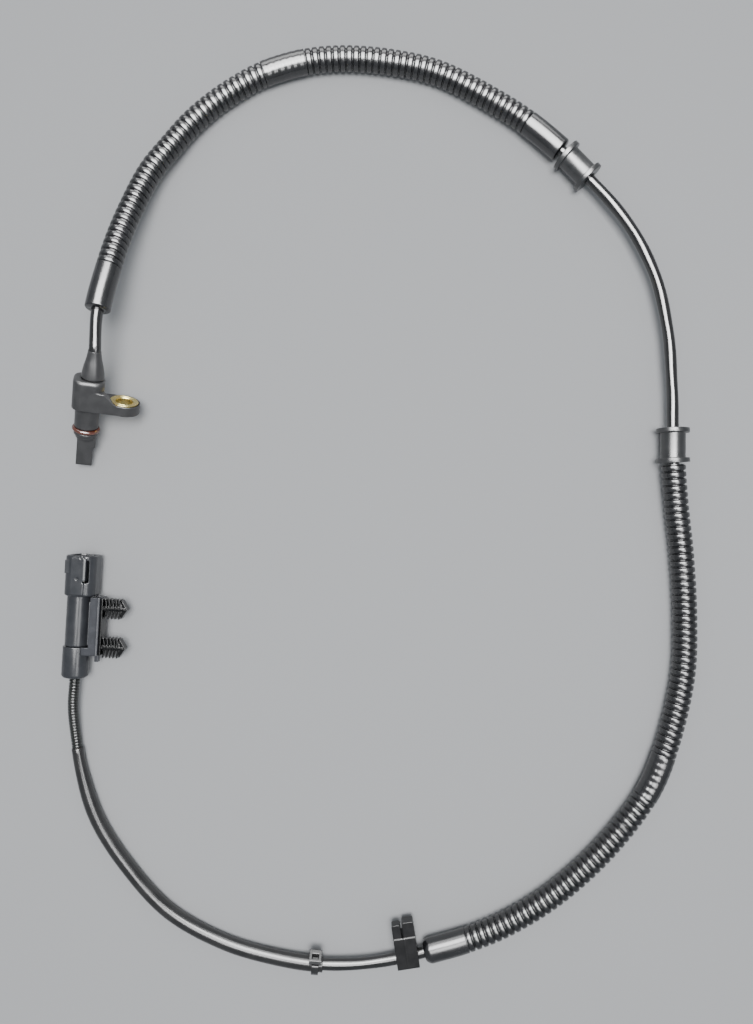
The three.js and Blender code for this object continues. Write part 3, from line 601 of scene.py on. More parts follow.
cable = {
    "radius": 2.35, "sides": 28, "step": 1.5, "twistPitch": 46, "twistSwell": 0.05, "pathStep": 6,
    "pathInPlug": (8, 13, 18), "coreRadius": 0.65, "coreSides": 12, "coreStep": 2.0, "coreSpacing": 1.6,
    "pinSpacing": 3, "sealStart": 10.4, "sealLength": 6, "blockStart": 23.8, "coreInBlock": 0.7,
}


def cableTwist(station, angle):
    return cable["twistSwell"] * math.cos(2 * (angle - 2 * math.pi * station / cable["twistPitch"]))


def coreMesh(side):
    c = cable
    points = []
    for station in stationsBetween(tail["jacketEnd"] + tail["gap"], route.end, c["pathStep"]):
        place, tangent, across, up = route.frameAt(station)
        points.append(place + across * side * c["coreSpacing"] / 2)
    sealEnd = c["sealStart"] + c["sealLength"]
    for distance in (c["sealStart"] - tail["gap"], sealEnd, c["blockStart"] + c["coreInBlock"]):
        points.append(onPlug(side * c["pinSpacing"] / 2, distance, 0))
    line = Route(points, 0)
    turns = [2 * math.pi * i / c["coreSides"] for i in range(c["coreSides"])]
    shape = bmesh.new()
    rings = []
    for station in stationsBetween(0, line.end, c["coreStep"]):
        place, tangent, across, up = line.frameAt(station)
        rings.append([
            shape.verts.new(place + (across * math.cos(turn) + up * math.sin(turn)) * c["coreRadius"])
            for turn in turns])
    skin(shape, rings)
    shape.faces.new(rings[0][::-1])
    shape.faces.new(rings[-1])
    return outwardObject("core", shape)


def makeCable():
    start, end = -route.exitDistance, tail["jacketEnd"]
    profile = [(0, start)]
    profile += [(cable["radius"], s) for s in stationsBetween(start, end, cable["step"])]
    profile += [(0, end)]
    thing = hoseMesh("cableJacket", profile, cable["sides"], closed=False, swell=cableTwist)
    thing.data.materials.append(materials["jacket"])
    shape = bmesh.new()
    shape.from_mesh(thing.data)
    for index, (side, core) in enumerate(((-1, "coreWhite"), (1, "coreBrown"))):
        part = coreMesh(side)
        before = len(shape.faces)
        shape.from_mesh(part.data)
        shape.faces.ensure_lookup_table()
        for face in shape.faces[before:]:
            face.material_index = index + 1
        thing.data.materials.append(materials[core])
        discard([part])
    shape.to_mesh(thing.data)
    shape.free()
    return finishPiece(thing, None, "cable_jacket", "cable", "tail_core_white", "tail_core_brown")


cableJacket = makeCable()
say("cable ready")


# Corrugated tubes, from one node tree that follows the route

# A Geometry Nodes group with named inputs, and the identifiers by which a modifier sets them
def nodeGroup(name, inputs):
    group = bpy.data.node_groups.new(name, "GeometryNodeTree")
    for direction in ("INPUT", "OUTPUT"):
        group.interface.new_socket("Geometry", in_out=direction, socket_type="NodeSocketGeometry")
    kinds = {int: "NodeSocketInt", float: "NodeSocketFloat", type(None): "NodeSocketMaterial"}
    identifiers = {}
    for key, value in {**inputs, "Material": None}.items():
        socket = group.interface.new_socket(key, in_out="INPUT", socket_type=kinds[type(value)])
        if value is not None:
            socket.default_value = value
        identifiers[key] = socket.identifier
    tree = Tree(group)
    return tree, tree.add("NodeGroupInput"), identifiers


# Each group ends in real geometry that carries its own material
def endGroup(tree, given, geometry):
    whole = tree.add("GeometryNodeRealizeInstances", {}, {"Geometry": geometry})
    dressed = tree.add("GeometryNodeSetMaterial", {}, {"Geometry": whole, "Material": given.out("Material")})
    tree.add("NodeGroupOutput", {}, {"Geometry": dressed})


# Takes a mesh through a node group and keeps the result as its plain mesh
def throughNodes(thing, tree, identifiers, values):
    modifier = thing.modifiers.new("nodes", "NODES")
    modifier.node_group = tree.nodeTree
    for key, value in values.items():
        modifier[identifiers[key]] = value
    return settle(thing)


# Sizes of a conduit, each one an input of the node tree; distances run along the cable
conduit = {
    "Radius": 5.0, "Groove depth": 0.75, "Groove share": 0.2, "Crown": 0.28, "Ripple": 0.055,
    "Smooth radius": 5.05, "Tube start": 0.0, "First start": 0.0, "First end": 1.0, "First ribs": 1.0,
    "Second start": 1.0, "Second end": 2.0, "Second ribs": 1.0, "Tube end": 2.0,
    "First bevel": 0.6, "First drop": 0.5, "Last bevel": 0.6, "Last drop": 0.5, "Ring step": 0.22,
    "Bore radius": 3.5, "Sides": 36,
}
ribbing = {"pitch": 2.9, "grooveFloor": 0.03, "lineStep": 0.8, "boreSteps": 6}  # floor: share of a pitch


def corrugatedTree():
    tree, given, identifiers = nodeGroup("corrugatedTube", conduit)
    station = tree.add("GeometryNodeInputNamedAttribute", {"data_type": "FLOAT"}, {"Name": "station"})

    def ribPart(start, end, ribs):
        inside = (station > given.out(start)) * (station < given.out(end))
        along = (station - given.out(start)) / (given.out(end) - given.out(start))
        turn = (along * given.out(ribs)).fraction()
        fromGroove = turn.least(1 - turn)
        groove = 1 - fromGroove.eased(ribbing["grooveFloor"], given.out("Groove share"))
        crown = (fromGroove - 0.5) * (fromGroove - 0.5) * 4 * given.out("Crown")
        return inside, inside * (groove * given.out("Groove depth") + crown)

    firstInside, firstCut = ribPart("First start", "First end", "First ribs")
    secondInside, secondCut = ribPart("Second start", "Second end", "Second ribs")
    smooth = 1 - firstInside - secondInside
    between = (station > given.out("First end")) * (station < given.out("Second start"))
    ripple = (station * (2 * math.pi / ribbing["pitch"])).sine() * given.out("Ripple") * between
    toStart = (station - given.out("Tube start")) / given.out("First bevel")
    toEnd = (given.out("Tube end") - station) / given.out("Last bevel")
    bevel = (1 - toStart.least(1).most(0)) ** 2 * given.out("First drop")
    bevel = bevel + (1 - toEnd.least(1).most(0)) ** 2 * given.out("Last drop")
    radius = given.out("Smooth radius") * smooth + given.out("Radius") * (1 - smooth)
    radius = radius - firstCut - secondCut + ripple - bevel

    line = tree.add("GeometryNodeMeshToCurve", {}, {"Mesh": given.out("Geometry")})
    rings = tree.add("GeometryNodeResampleCurve", {"mode": "LENGTH"}, {
        "Curve": line, "Length": given.out("Ring step")})
    ring = tree.add("GeometryNodeCurvePrimitiveCircle", {}, {"Radius": 1.0, "Resolution": given.out("Sides")})
    outer = tree.add("GeometryNodeCurveToMesh", {}, {"Curve": rings, "Profile Curve": ring, "Scale": radius})
    boreRings = tree.add("GeometryNodeResampleCurve", {"mode": "LENGTH"}, {
        "Curve": line, "Length": given.out("Ring step") * ribbing["boreSteps"]})
    inner = tree.add("GeometryNodeCurveToMesh", {}, {
        "Curve": boreRings, "Profile Curve": ring, "Scale": given.out("Bore radius")})
    endGroup(tree, given, tree.add("GeometryNodeJoinGeometry", {}, {"Geometry": [outer, inner]}))
    return tree, identifiers


tubeTree, tubeInputs = corrugatedTree()


def corrugatedTube(name, ownSize, material, node):
    size = {**conduit, **ownSize}
    start, end = size["Tube start"], size["Tube end"]
    shape = bmesh.new()
    layer = shape.verts.layers.float.new("station")
    previous = None
    for station in stationsBetween(start, end, ribbing["lineStep"]):
        vertex = shape.verts.new(route.at(station))
        vertex[layer] = station
        if previous:
            shape.edges.new((previous, vertex))
        previous = vertex
    thing = fromBmesh(name, shape)
    throughNodes(thing, tubeTree, tubeInputs, {**size, "Material": materials[material]})
    closeEnds(thing, route.at(start), route.at(end))
    return finishPiece(thing, material, "conduit_plastic", node)


# Joins the outer and the inner wall at both ends, so that the tube is one closed wall
def closeEnds(thing, startPlace, endPlace):
    shape = bmesh.new()
    shape.from_mesh(thing.data)
    edges = [edge for edge in shape.edges if edge.is_boundary]
    for place, other in ((startPlace, endPlace), (endPlace, startPlace)):
        near = [e for e in edges if (e.verts[0].co - place).length < (e.verts[0].co - other).length]
        bmesh.ops.bridge_loops(shape, edges=near)
    bmesh.ops.recalc_face_normals(shape, faces=shape.faces)
    shape.to_mesh(thing.data)
    shape.free()


frontConduit = {
    "Tube start": 19.0, "First start": 37.8, "First end": 150.0, "Second start": 168.6, "Second end": 269.3,
    "Tube end": 287.5}
rearConduit = {
    "Tube start": 434.4, "First start": 434.4, "First end": 559.0, "Second start": 578.1, "Second end": 677.3,
    "Tube end": 695.6, "Last bevel": 2.6, "Last drop": 1.35}
for size in (frontConduit, rearConduit):
    for part in ("First", "Second"):
        size[f"{part} ribs"] = float(round((size[f"{part} end"] - size[f"{part} start"]) / ribbing["pitch"]))
ribbedTube = {
    "Radius": 2.2, "Groove depth": 0.32, "Groove share": 0.34, "Crown": 0.25, "Ripple": 0.0,
    "Smooth radius": 2.2, "First bevel": 0.1, "First drop": 0.1, "Last bevel": 0.1, "Last drop": 0.1,
    "Ring step": 0.12, "Bore radius": 1.7, "Sides": 28, "Tube start": tail["ribbedStart"],
    "First start": tail["ribbedStart"], "First end": route.end, "First ribs": 27.0,
    "Second start": route.end + 1, "Second end": route.end + 2, "Tube end": route.end,
}

conduitFront = corrugatedTube("conduitFront", frontConduit, "conduit", "conduit_front")
conduitRear = corrugatedTube("conduitRear", rearConduit, "conduit", "conduit_rear")
tailTube = corrugatedTube("tailTube", ribbedTube, "ribbed", "ribbed_tube")
say("corrugated tubes ready")


# Sleeve and grommets on the cable

sleeve = {
    "radius": 3.1, "endRadius": 2.45, "taper": 28, "bore": 2.575, "endBore": 1.75, "sides": 36,
    "step": 2.0, "edgeDrop": 0.12, "edgeLength": 0.15, "clearStart": 1, "clearEnd": 0.2, "boreStep": 8,
    "boreEnd": 0.3, "endBoreStart": 3,
}


def makeSleeve():
    start, end = tail["sleeveStart"], tail["sleeveEnd"]
    taperStart = end - sleeve["taper"]
    radius = sleeve["radius"]
    outer = [(radius - sleeve["edgeDrop"], start), (radius, start + sleeve["edgeLength"])]
    first, last = start + sleeve["clearStart"], end - sleeve["clearEnd"]
    for station in stationsBetween(first, last, sleeve["step"]):
        share = max(0.0, (station - taperStart) / sleeve["taper"])
        share = share * share * (3 - 2 * share)
        outer.append((radius + (sleeve["endRadius"] - radius) * share, station))
    outer.append((sleeve["endRadius"] - sleeve["edgeDrop"], end))
    wide = stationsBetween(start, tail["jacketEnd"] + sleeve["boreEnd"], sleeve["boreStep"])
    narrow = stationsBetween(tail["jacketEnd"] + sleeve["endBoreStart"], end, sleeve["boreStep"])
    inner = [(sleeve["bore"], s) for s in wide] + [(sleeve["endBore"], s) for s in narrow]
    thing = hoseMesh("cableSleeve", outer + inner[::-1], sleeve["sides"])
    return finishPiece(thing, "sleeve", "sleeve_plastic", "cable_sleeve")


grommet = {
    "length": 14.6, "flange": 2.0, "flangeRadius": 6.7, "radius": 5.1, "bore": 2.8, "edge": 0.35,
    "innerEdge": 0.3, "boreEdge": 0.25, "sides": 72, "front": 289.7, "rear": 419.1,
}


def makeGrommet(name, start, node):
    g = grommet
    end = start + g["length"]
    profile = [
        (g["flangeRadius"], start), (g["flangeRadius"], start + g["flange"]),
        (g["radius"], start + g["flange"]), (g["radius"], end - g["flange"]),
        (g["flangeRadius"], end - g["flange"]), (g["flangeRadius"], end),
        (g["bore"], end), (g["bore"], start)]
    rounding = [g["edge"]] * 2 + [g["innerEdge"]] * 2 + [g["edge"]] * 2 + [g["boreEdge"]] * 2
    thing = hoseMesh(name, softened(profile, rounding), g["sides"])
    return finishPiece(thing, "grommet", "grommet_rubber", node)


cableSleeve = makeSleeve()
grommetFront = makeGrommet("grommetFront", grommet["front"], "grommet_front")
grommetRear = makeGrommet("grommetRear", grommet["rear"], "grommet_rear")
say("sleeve and grommets ready")


# Sensor head

housing = {
    "tipWidth": 6.3, "tipDepth": 5.0, "tipLength": 12.2, "tipInNeck": 2, "stepStart": 8.3,
    "stepSide": 1.0, "tipWall": 1.0, "cavityWall": 0.8, "cavityTop": 2, "neckRadius": 4.05,
    "neckInBarrel": 0.5, "barrelStart": 13.7, "barrelRadius": 4.8, "bodyStart": 26.1,
    "bodyEnd": head["bodyEnd"], "bodySize": 12.2, "bodyCorner": 4.0, "bodyEdge": 1.3, "edgeSteps": 6,
    "edgeCorner": 0.8, "inBody": 1, "earTop": 30.4, "earReach": 14.0, "earRadius": 6.5, "webTop": 34.6,
    "webReach": 11.2, "webBack": -2.4, "webCurve": ((1.3, 0.7), (2.3, 1.9)), "boltHead": 6.55,
    "ringHeight": 16.2, "grooveFloor": 3.55, "grooveOuter": 8, "grooveHalf": 1.1, "bushHole": 4.8,
    "bushSeat": 5.95, "bushSeatFloor": 29.55, "boreRadius": 3.3, "lowerBoreRadius": 2.5,
    "lowerBoreTop": 22.0, "cableMouth": 2.8, "mouthDepth": 2.3, "seamFrom": (-1, -0.1, 4.2),
    "seamTo": (2, 0.12, 4.45), "clear": 2,
}


def makeHousing():
    h = housing
    halfW, halfD, halfB = h["tipWidth"] / 2, h["tipDepth"] / 2, h["bodySize"] / 2
    top = h["tipLength"] + h["tipInNeck"]
    low, far = h["bodyStart"], h["bodyEnd"] + h["clear"]
    edgeStart = h["bodyEnd"] - h["bodyEdge"]
    ear = (h["earReach"], 0)
    lumps = [
        prismLump(roundedOutline(h["bodySize"], h["bodySize"], h["bodyCorner"]), low, edgeStart),
        boxLump((-halfW, -halfD, 0), (halfW, halfD, top)),
        boxLump((-halfW, -halfD, h["stepStart"]), (halfW + h["stepSide"], halfD, top)),
        rodLump(h["neckRadius"], h["tipLength"], h["barrelStart"] + h["neckInBarrel"]),
        rodLump(h["barrelRadius"], h["barrelStart"], low + h["inBody"]),
        rodLump(h["earRadius"], low, h["earTop"], sidesOf["wide"], ear),
        boxLump((0, -halfB, low), (h["earReach"], halfB, h["earTop"])),
    ]
    for i in range(h["edgeSteps"]):
        angle = math.pi / 2 * (i + 1) / h["edgeSteps"]
        inset = h["bodyEdge"] * (1 - math.cos(angle))
        size = h["bodySize"] - 2 * inset
        outline = roundedOutline(size, size, max(h["edgeCorner"], h["bodyCorner"] - inset))
        lumps.append(prismLump(outline, low + h["inBody"], edgeStart + h["bodyEdge"] * math.sin(angle)))
    web = [(0, low), (h["webReach"], low), (h["webReach"], h["earTop"])]
    web += [(h["webReach"] - inward, h["earTop"] + rise) for inward, rise in h["webCurve"]]
    web += [(halfB, h["webTop"]), (0, h["webTop"])]
    lumps.append(moved(prismLump(web, -h["webBack"], halfB), matrix=fromBack))
    grooveLow, grooveHigh = h["ringHeight"] - h["grooveHalf"], h["ringHeight"] + h["grooveHalf"]
    groove = [
        (h["grooveFloor"], grooveLow), (h["grooveOuter"], grooveLow),
        (h["grooveOuter"], grooveHigh), (h["grooveFloor"], grooveHigh)]
    seamFrom, seamTo = h["seamFrom"], h["seamTo"]
    cuts = [
        turnedMesh("lump", groove, sidesOf["usual"], closed=True),
        rodLump(h["bushHole"], low - h["clear"], far, centre=ear),
        rodLump(h["bushSeat"], h["bushSeatFloor"], far, centre=ear),
        rodLump(h["boltHead"], h["earTop"], far, sidesOf["wide"], ear),
        rodLump(h["boreRadius"], h["lowerBoreTop"], far, sidesOf["bore"]),
        rodLump(
            h["lowerBoreRadius"], h["barrelStart"] + h["tipWall"], h["lowerBoreTop"] + h["inBody"],
            sidesOf["bore"]),
        rodLump(h["cableMouth"], edgeStart - h["mouthDepth"], far, sidesOf["bore"], (head["bootOffset"], 0)),
        boxLump(
            (-halfW + h["tipWall"], -halfD + h["cavityWall"], h["tipWall"]),
            (halfW - h["tipWall"], halfD - h["cavityWall"], h["barrelStart"] + h["cavityTop"])),
        boxLump(
            (-halfW + seamFrom[0], -halfD + seamFrom[1], seamFrom[2]),
            (halfW + seamTo[0], -halfD + seamTo[1], seamTo[2])),
    ]
    thing = moulded("sensorHousing", lumps, cuts, grid=0.21, smoothing=5)
    return finishPiece(thing, "charcoal", "charcoal_plastic", "sensor_housing", matrix=headMatrix)


# The flange is (radius, distance below the top); one rounding for each corner, from the hole's lower edge
bush = {
    "hole": 3.4, "outer": 4.5, "proud": 0.25, "sides": sidesOf["wide"],
    "flange": [
        (4.5, 0.8), (5.65, 0.8), (5.65, 0), (4.75, 0), (4.6, 0.16), (4.3, 0.16), (4.15, 0), (3.75, 0),
        (3.4, 0.35)],
    "rounding": [0.2, 0.2, 0.05, 0.15, 0.2, 0.08, 0.05, 0.05, 0.08, 0.15, 0.15],
}


def makeBush():
    low, high = housing["bodyStart"] - bush["proud"], housing["earTop"] + bush["proud"]
    profile = [(bush["hole"], low), (bush["outer"], low)]
    profile += [(radius, high - drop) for radius, drop in bush["flange"]]
    rounded = softened(profile, bush["rounding"])
    thing = turnedMesh("mountingBush", rounded, bush["sides"], closed=True, centre=(housing["earReach"], 0))
    return finishPiece(thing, "zinc", "yellow_zinc", "mounting_bush", matrix=headMatrix)


sealRing = {"section": 0.82, "middle": 4.78, "steps": sidesOf["small"], "sides": sidesOf["wide"]}


def makeRing():
    section, middle, steps = sealRing["section"], sealRing["middle"], sealRing["steps"]
    profile = [
        (middle + section * math.cos(turn), housing["ringHeight"] + section * math.sin(turn))
        for turn in (2 * math.pi * i / steps for i in range(steps))]
    thing = turnedMesh("sealingRing", profile, sealRing["sides"], closed=True)
    return finishPiece(thing, "seal", "seal_rubber", "o_ring", matrix=headMatrix)


# Corners as (radius, distance from the boot's start), with a rounding for each
boot = {
    "profile": [
        (2.8, 0), (4.55, 0), (4.4, 1.8), (4.1, 3.6), (3.65, 5.6), (3.2, 7.4), (2.85, 9), (2.65, 10.3),
        (2.52, 11.4), (2.42, 11.45), (2.45, 10.2), (2.6, 8.6)],
    "rounding": [0.1, 0.3, 1.2, 2, 2, 2, 1.5, 1, 0.2, 0.1, 0.5, 0.5], "sides": sidesOf["wide"],
}


def makeBoot():
    rounded = softened(boot["profile"], boot["rounding"])
    profile = [(radius, head["bootStart"] + distance) for radius, distance in rounded]
    thing = turnedMesh("cableBoot", profile, boot["sides"], closed=True, centre=(head["bootOffset"], 0))
    return finishPiece(thing, "boot", "boot_plastic", "cable_boot", matrix=headMatrix)


sensorHousing = makeHousing()
mountingBush = makeBush()
sealingRing = makeRing()
cableBoot = makeBoot()
say("sensor head ready")


# Clip and cable tie

clip = {
    "station": 703.25, "width": 9.4, "front": 9.7, "back": 3.8, "height": 8.8,
    "rounding": (0.3, 0.3, 0.45, 1.2), "prongLengths": (5.7, 6.3), "prongWidths": (3.65, 4.95),
    "prongHeights": (4.4, 5.4), "prongDrop": 0.25, "prongRoot": 1, "prongRounding": 0.9, "lineWidth": 0.4,
    "lineBack": 1.5, "lineFront": 0.3, "lineDepth": 1, "lineProud": 0.12, "turn": math.radians(-5),
    "bore": 2.8,
}
tie = {
    "station": 742.7, "width": 3.0, "thickness": 0.8, "headWidth": 5.2, "headLength": 4.9,
    "headHeight": 3.6, "slotSides": (-1.3, -0.3, 0.7), "slotFloor": 2.0, "slotTip": 0.8, "slotInset": 0.1,
    "clear": 2, "turn": math.radians(56), "inner": 3.4, "sides": 72,
}


def holderMatrix(station, turn, height=None):
    place, tangent, side, up = route.frameAt(station)
    spot = Vector((place.x, place.y, place.z if height is None else height))
    heading = math.atan2(tangent.y, tangent.x) + math.pi + turn
    return Matrix.Translation(spot) @ Matrix.Rotation(heading, 4, "Z")


def makeClip():
    c = clip
    half, root = c["width"] / 2, c["front"] - c["prongRoot"]
    profile = softened([
        (-c["back"], 0), (c["front"], 0), (c["front"], c["height"]), (-c["back"], c["height"])],
        c["rounding"])
    lumps = [moved(prismLump(profile, -half, half), matrix=fromSide)]
    lumps.append(boxLump(
        (-c["lineWidth"], -c["back"] + c["lineBack"], c["height"] - c["lineDepth"]),
        (0.0, c["front"] - c["lineFront"], c["height"] + c["lineProud"])))
    start = -half
    split = c["width"] - sum(c["prongWidths"])
    for width, height, length in zip(c["prongWidths"], c["prongHeights"], c["prongLengths"]):
        low = c["height"] - c["prongDrop"] - height
        end = c["front"] + length
        outline = [(start, root), (start + width, root), (start + width, end), (start, end)]
        outline = softened(outline, [0, 0, c["prongRounding"], c["prongRounding"]])
        lumps.append(prismLump(outline, low, low + height))
        start += width + split
    hole = moved(
        rodLump(c["bore"], -c["width"], c["width"], sidesOf["bore"]), (0, 0, route.at(c["station"]).z),
        Matrix.Rotation(-c["turn"], 4, "Z") @ alongX)
    thing = moulded("cableClip", lumps, [hole], grid=0.16, smoothing=4)
    matrix = holderMatrix(c["station"], c["turn"], 0)
    return finishPiece(thing, "clip", "charcoal_plastic", "cable_clip", matrix=matrix)


def makeTie():
    t = tie
    inner, outer = t["inner"], t["inner"] + t["thickness"]
    halfW, halfL, halfT = t["headWidth"] / 2, t["headLength"] / 2, t["width"] / 2
    first, tip, last = t["slotSides"]
    top, floorHeight = outer + t["headHeight"], inner + t["slotFloor"]
    slot = [(first, top), (first, floorHeight), (tip, inner + t["slotTip"]), (last, floorHeight), (last, top)]
    lumps = [
        moved(rodLump(outer, -halfT, halfT, t["sides"]), matrix=alongX),
        boxLump((-halfW, -halfL, inner), (halfW, halfL, inner + t["headHeight"])),
    ]
    cuts = [
        moved(rodLump(inner, -halfW - t["clear"], halfW + t["clear"], t["sides"]), matrix=alongX),
        moved(prismLump(slot, -halfT + t["slotInset"], halfT - t["slotInset"]), matrix=fromSide),
    ]
    thing = moulded("cableTie", lumps, cuts, grid=0.12, smoothing=4)
    matrix = holderMatrix(t["station"], 0) @ Matrix.Rotation(-t["turn"], 4, "X")
    return finishPiece(thing, "tie", "tie_plastic", "cable_tie", matrix=matrix)


cableClip = makeClip()
cableTie = makeTie()
say("clip and tie ready")


# Connector

shell = {
    "capRadius": 5.45, "capLength": 13.2, "capWall": 2.2, "capMouth": 2.5, "capBore": 4.2,
    "capChamfer": 0.9, "capRounding": [0.25, 0.5, 0.5, 0.35, 0.2, 0.1, 0.1], "spigotRadius": 3.9,
    "spigotLength": 4, "start": 13.5, "radius": 4.8, "collarStart": 34.7, "collarEnd": 51.6,
    "collarWidth": 12.7, "collarHeight": 14.4, "collarCorner": 4.6,
    "collarSteps": ((0, 0.5), (0.25, 0.2), (0.5, 0)), "offset": 1.25, "wall": 1.6, "floor": 36.9,
    "bore": 3.2, "boreStart": 6, "overlap": 1, "clear": 2, "panelWidth": 5.6, "panelCentre": 1.25,
    "panelHeight": 0.5, "panelDepth": 2.2, "panelEnds": (0.6, 0.7), "slotCentre": 5.2, "slotWidth": 0.95,
    "slotLength": 9.2, "slotMargin": 1.9, "slotFlat": 0.02, "keyWidth": 2.2, "keyInset": 0.85,
    "keyLength": 5.6, "keyHeights": (4, 0.4), "lipWidth": 0.6, "lipHeight": 0.35, "lipDepth": 2,
    "lipEnds": (0.8, 0.6), "hookSides": (1.1, 0.6), "hookEnds": (0.2, 0.6), "hookHeights": (2, 1),
    "dimplePlace": (1.4, 9.6), "dimpleRadius": 0.5, "dimpleDepth": 0.3, "notchSides": (2.3, 3.2),
    "notchLength": 1.2, "notchHeights": (0.8, 1), "railNeck": 2.2, "railHead": 4.8, "railFace": 7.7,
    "railThickness": 1.0, "railLength": 18.0, "railGap": 0.3, "railInset": 0.1,
}


def makeShell():
    s = shell
    start, end = s["start"], s["collarEnd"]
    top = s["collarHeight"] / 2
    panelLeft = s["panelCentre"] - s["panelWidth"] / 2
    panelRight = s["panelCentre"] + s["panelWidth"] / 2
    keyLeft = s["offset"] - s["collarWidth"] / 2 + s["keyInset"]
    slotLeft = s["slotCentre"] - s["slotWidth"] / 2
    slotEnd = end - s["slotMargin"]
    slotMiddle = slotEnd - s["slotLength"] / 2
    slotStart = slotMiddle - s["slotLength"] / 2
    railStart = start + s["railGap"]
    railEnd = railStart + s["railLength"]
    lumps = [
        moved(
            rodLump(s["radius"], start, s["collarStart"] + s["overlap"], sidesOf["wide"]), matrix=alongY),
        moved(rodLump(s["spigotRadius"], start - s["spigotLength"], start + s["overlap"]), matrix=alongY),
    ]
    for inset, cut in s["collarSteps"]:
        outline = roundedOutline(
            s["collarWidth"] - 2 * inset, s["collarHeight"] - 2 * inset, s["collarCorner"] - inset)
        lumps.append(moved(
            prismLump(outline, s["collarStart"] + cut, end - cut), (s["offset"], 0, 0), alongY))
    lumps += [
        boxLump(
            (panelLeft, s["collarStart"] + s["panelEnds"][0], top - s["panelDepth"]),
            (panelRight, end - s["panelEnds"][1], top + s["panelHeight"])),
        boxLump(
            (keyLeft, slotEnd - s["keyLength"], top - s["keyHeights"][0]),
            (keyLeft + s["keyWidth"], slotEnd, top - s["keyHeights"][1])),
        boxLump(
            (slotLeft - s["lipWidth"], slotEnd - s["slotLength"] + s["lipEnds"][0], top - s["lipDepth"]),
            (slotLeft, slotEnd + s["lipEnds"][1], top + s["lipHeight"])),
        boxLump(
            (0, railStart, -s["railNeck"] / 2), (s["railFace"] + s["railInset"], railEnd, s["railNeck"] / 2)),
        boxLump(
            (s["railFace"], railStart, -s["railHead"] / 2),
            (s["railFace"] + s["railThickness"], railEnd, s["railHead"] / 2)),
    ]
    cavity = roundedOutline(
        s["collarWidth"] - 2 * s["wall"], s["collarHeight"] - 2 * s["wall"], s["collarCorner"] - s["wall"])
    slot = roundedOutline(s["slotWidth"], s["slotLength"], s["slotWidth"] / 2 - s["slotFlat"])
    cuts = [
        moved(prismLump(cavity, s["floor"], end + s["clear"]), (s["offset"], 0, 0), alongY),
        moved(prismLump(slot, s["clear"], top + s["clear"]), (s["slotCentre"], slotMiddle, 0)),
        moved(rodLump(s["bore"], start - s["boreStart"], s["floor"] + s["overlap"]), matrix=alongY),
        rodLump(
            s["dimpleRadius"], top - s["dimpleDepth"], top + s["clear"], sidesOf["small"],
            (s["dimplePlace"][0], end - s["dimplePlace"][1])),
        boxLump(
            (s["notchSides"][0], end - s["notchLength"], top - s["notchHeights"][0]),
            (s["notchSides"][1], end + s["overlap"], top + s["notchHeights"][1])),
        boxLump(
            (slotLeft - s["hookSides"][0], slotStart - s["hookEnds"][0], top - s["hookHeights"][0]),
            (slotLeft + s["hookSides"][1], slotStart + s["hookEnds"][1], top + s["hookHeights"][1])),
    ]
    thing = moulded("plugHousing", lumps, cuts, grid=0.2, smoothing=4)
    return finishPiece(thing, "slate", "slate_plastic", "connector_housing", matrix=plugMatrix)


def makeCap():
    s = shell
    radius, mouth, chamfer = s["capRadius"], s["capMouth"], s["capChamfer"]
    profile = [
        (mouth, 0), (radius - chamfer, 0), (radius, chamfer), (radius, s["capLength"]),
        (s["capBore"], s["capLength"]), (s["capBore"], s["capWall"]), (mouth, s["capWall"])]
    thing = turnedMesh("plugCap", softened(profile, s["capRounding"]), sidesOf["wide"], closed=True)
    return finishPiece(thing, "slate", "slate_plastic", "connector_rear_cap", matrix=plugMatrix @ alongY)


retainer = {
    "start": 6.4, "thickness": 4.0, "begin": 10.1, "end": 34.4, "bottom": -3.6, "height": 8.4,
    "footReach": 2.8, "footLength": 3.2, "footBottom": 3.15, "overlap": 1, "lip": 0.65, "lipHeight": 0.35,
    "lipRoot": 0.2, "lipDepth": 1, "lipOuter": 0.05, "nibSides": (7.6, 9.3), "nibLength": 3.4,
    "nibHeights": (-2.6, -0.2), "capGap": 0.3, "capEnd": (1, 0.6), "play": 0.3,
}


def makeRetainer():
    r, s = retainer, shell
    top = r["bottom"] + r["height"]
    out = r["start"] + r["thickness"]
    lipTop, lipRoot = top + r["lipHeight"], out - r["lip"] - r["lipRoot"]
    lip = [
        (lipRoot, top - r["lipDepth"]), (out, top - r["lipDepth"]), (out, top - r["lipOuter"]),
        (out - r["lip"], lipTop), (lipRoot, lipTop)]
    lumps = [
        boxLump((r["start"], r["begin"], r["bottom"]), (out, r["end"], top)),
        boxLump(
            (r["start"] - r["footReach"], r["begin"], r["footBottom"]),
            (r["start"] + r["overlap"], r["begin"] + r["footLength"], top)),
        moved(prismLump(lip, -r["end"], -r["begin"]), matrix=fromBack),
        boxLump(
            (r["nibSides"][0], r["begin"] - r["nibLength"], r["nibHeights"][0]),
            (r["nibSides"][1], r["begin"] + r["overlap"], r["nibHeights"][1])),
    ]
    capStart, capEnd = -r["capEnd"][0], s["capLength"] + r["capEnd"][1]
    cuts = [
        moved(rodLump(s["capRadius"] + r["capGap"], capStart, capEnd, sidesOf["wide"]), matrix=alongY),
        boxLump(
            (r["start"] - r["overlap"], s["start"], -s["railNeck"] / 2 - r["play"]),
            (r["start"] + r["overlap"], r["end"] + r["overlap"], s["railNeck"] / 2 + r["play"])),
        boxLump(
            (s["railFace"] - r["play"], s["start"], -s["railHead"] / 2 - r["play"]),
            (s["railFace"] + s["railThickness"] + r["play"], r["end"] + r["overlap"],
             s["railHead"] / 2 + r["play"])),
    ]
    thing = moulded("plugRetainer", lumps, cuts, grid=0.17, smoothing=3)
    return finishPiece(thing, "slateLight", "slate_plastic", "connector_retainer", matrix=plugMatrix)


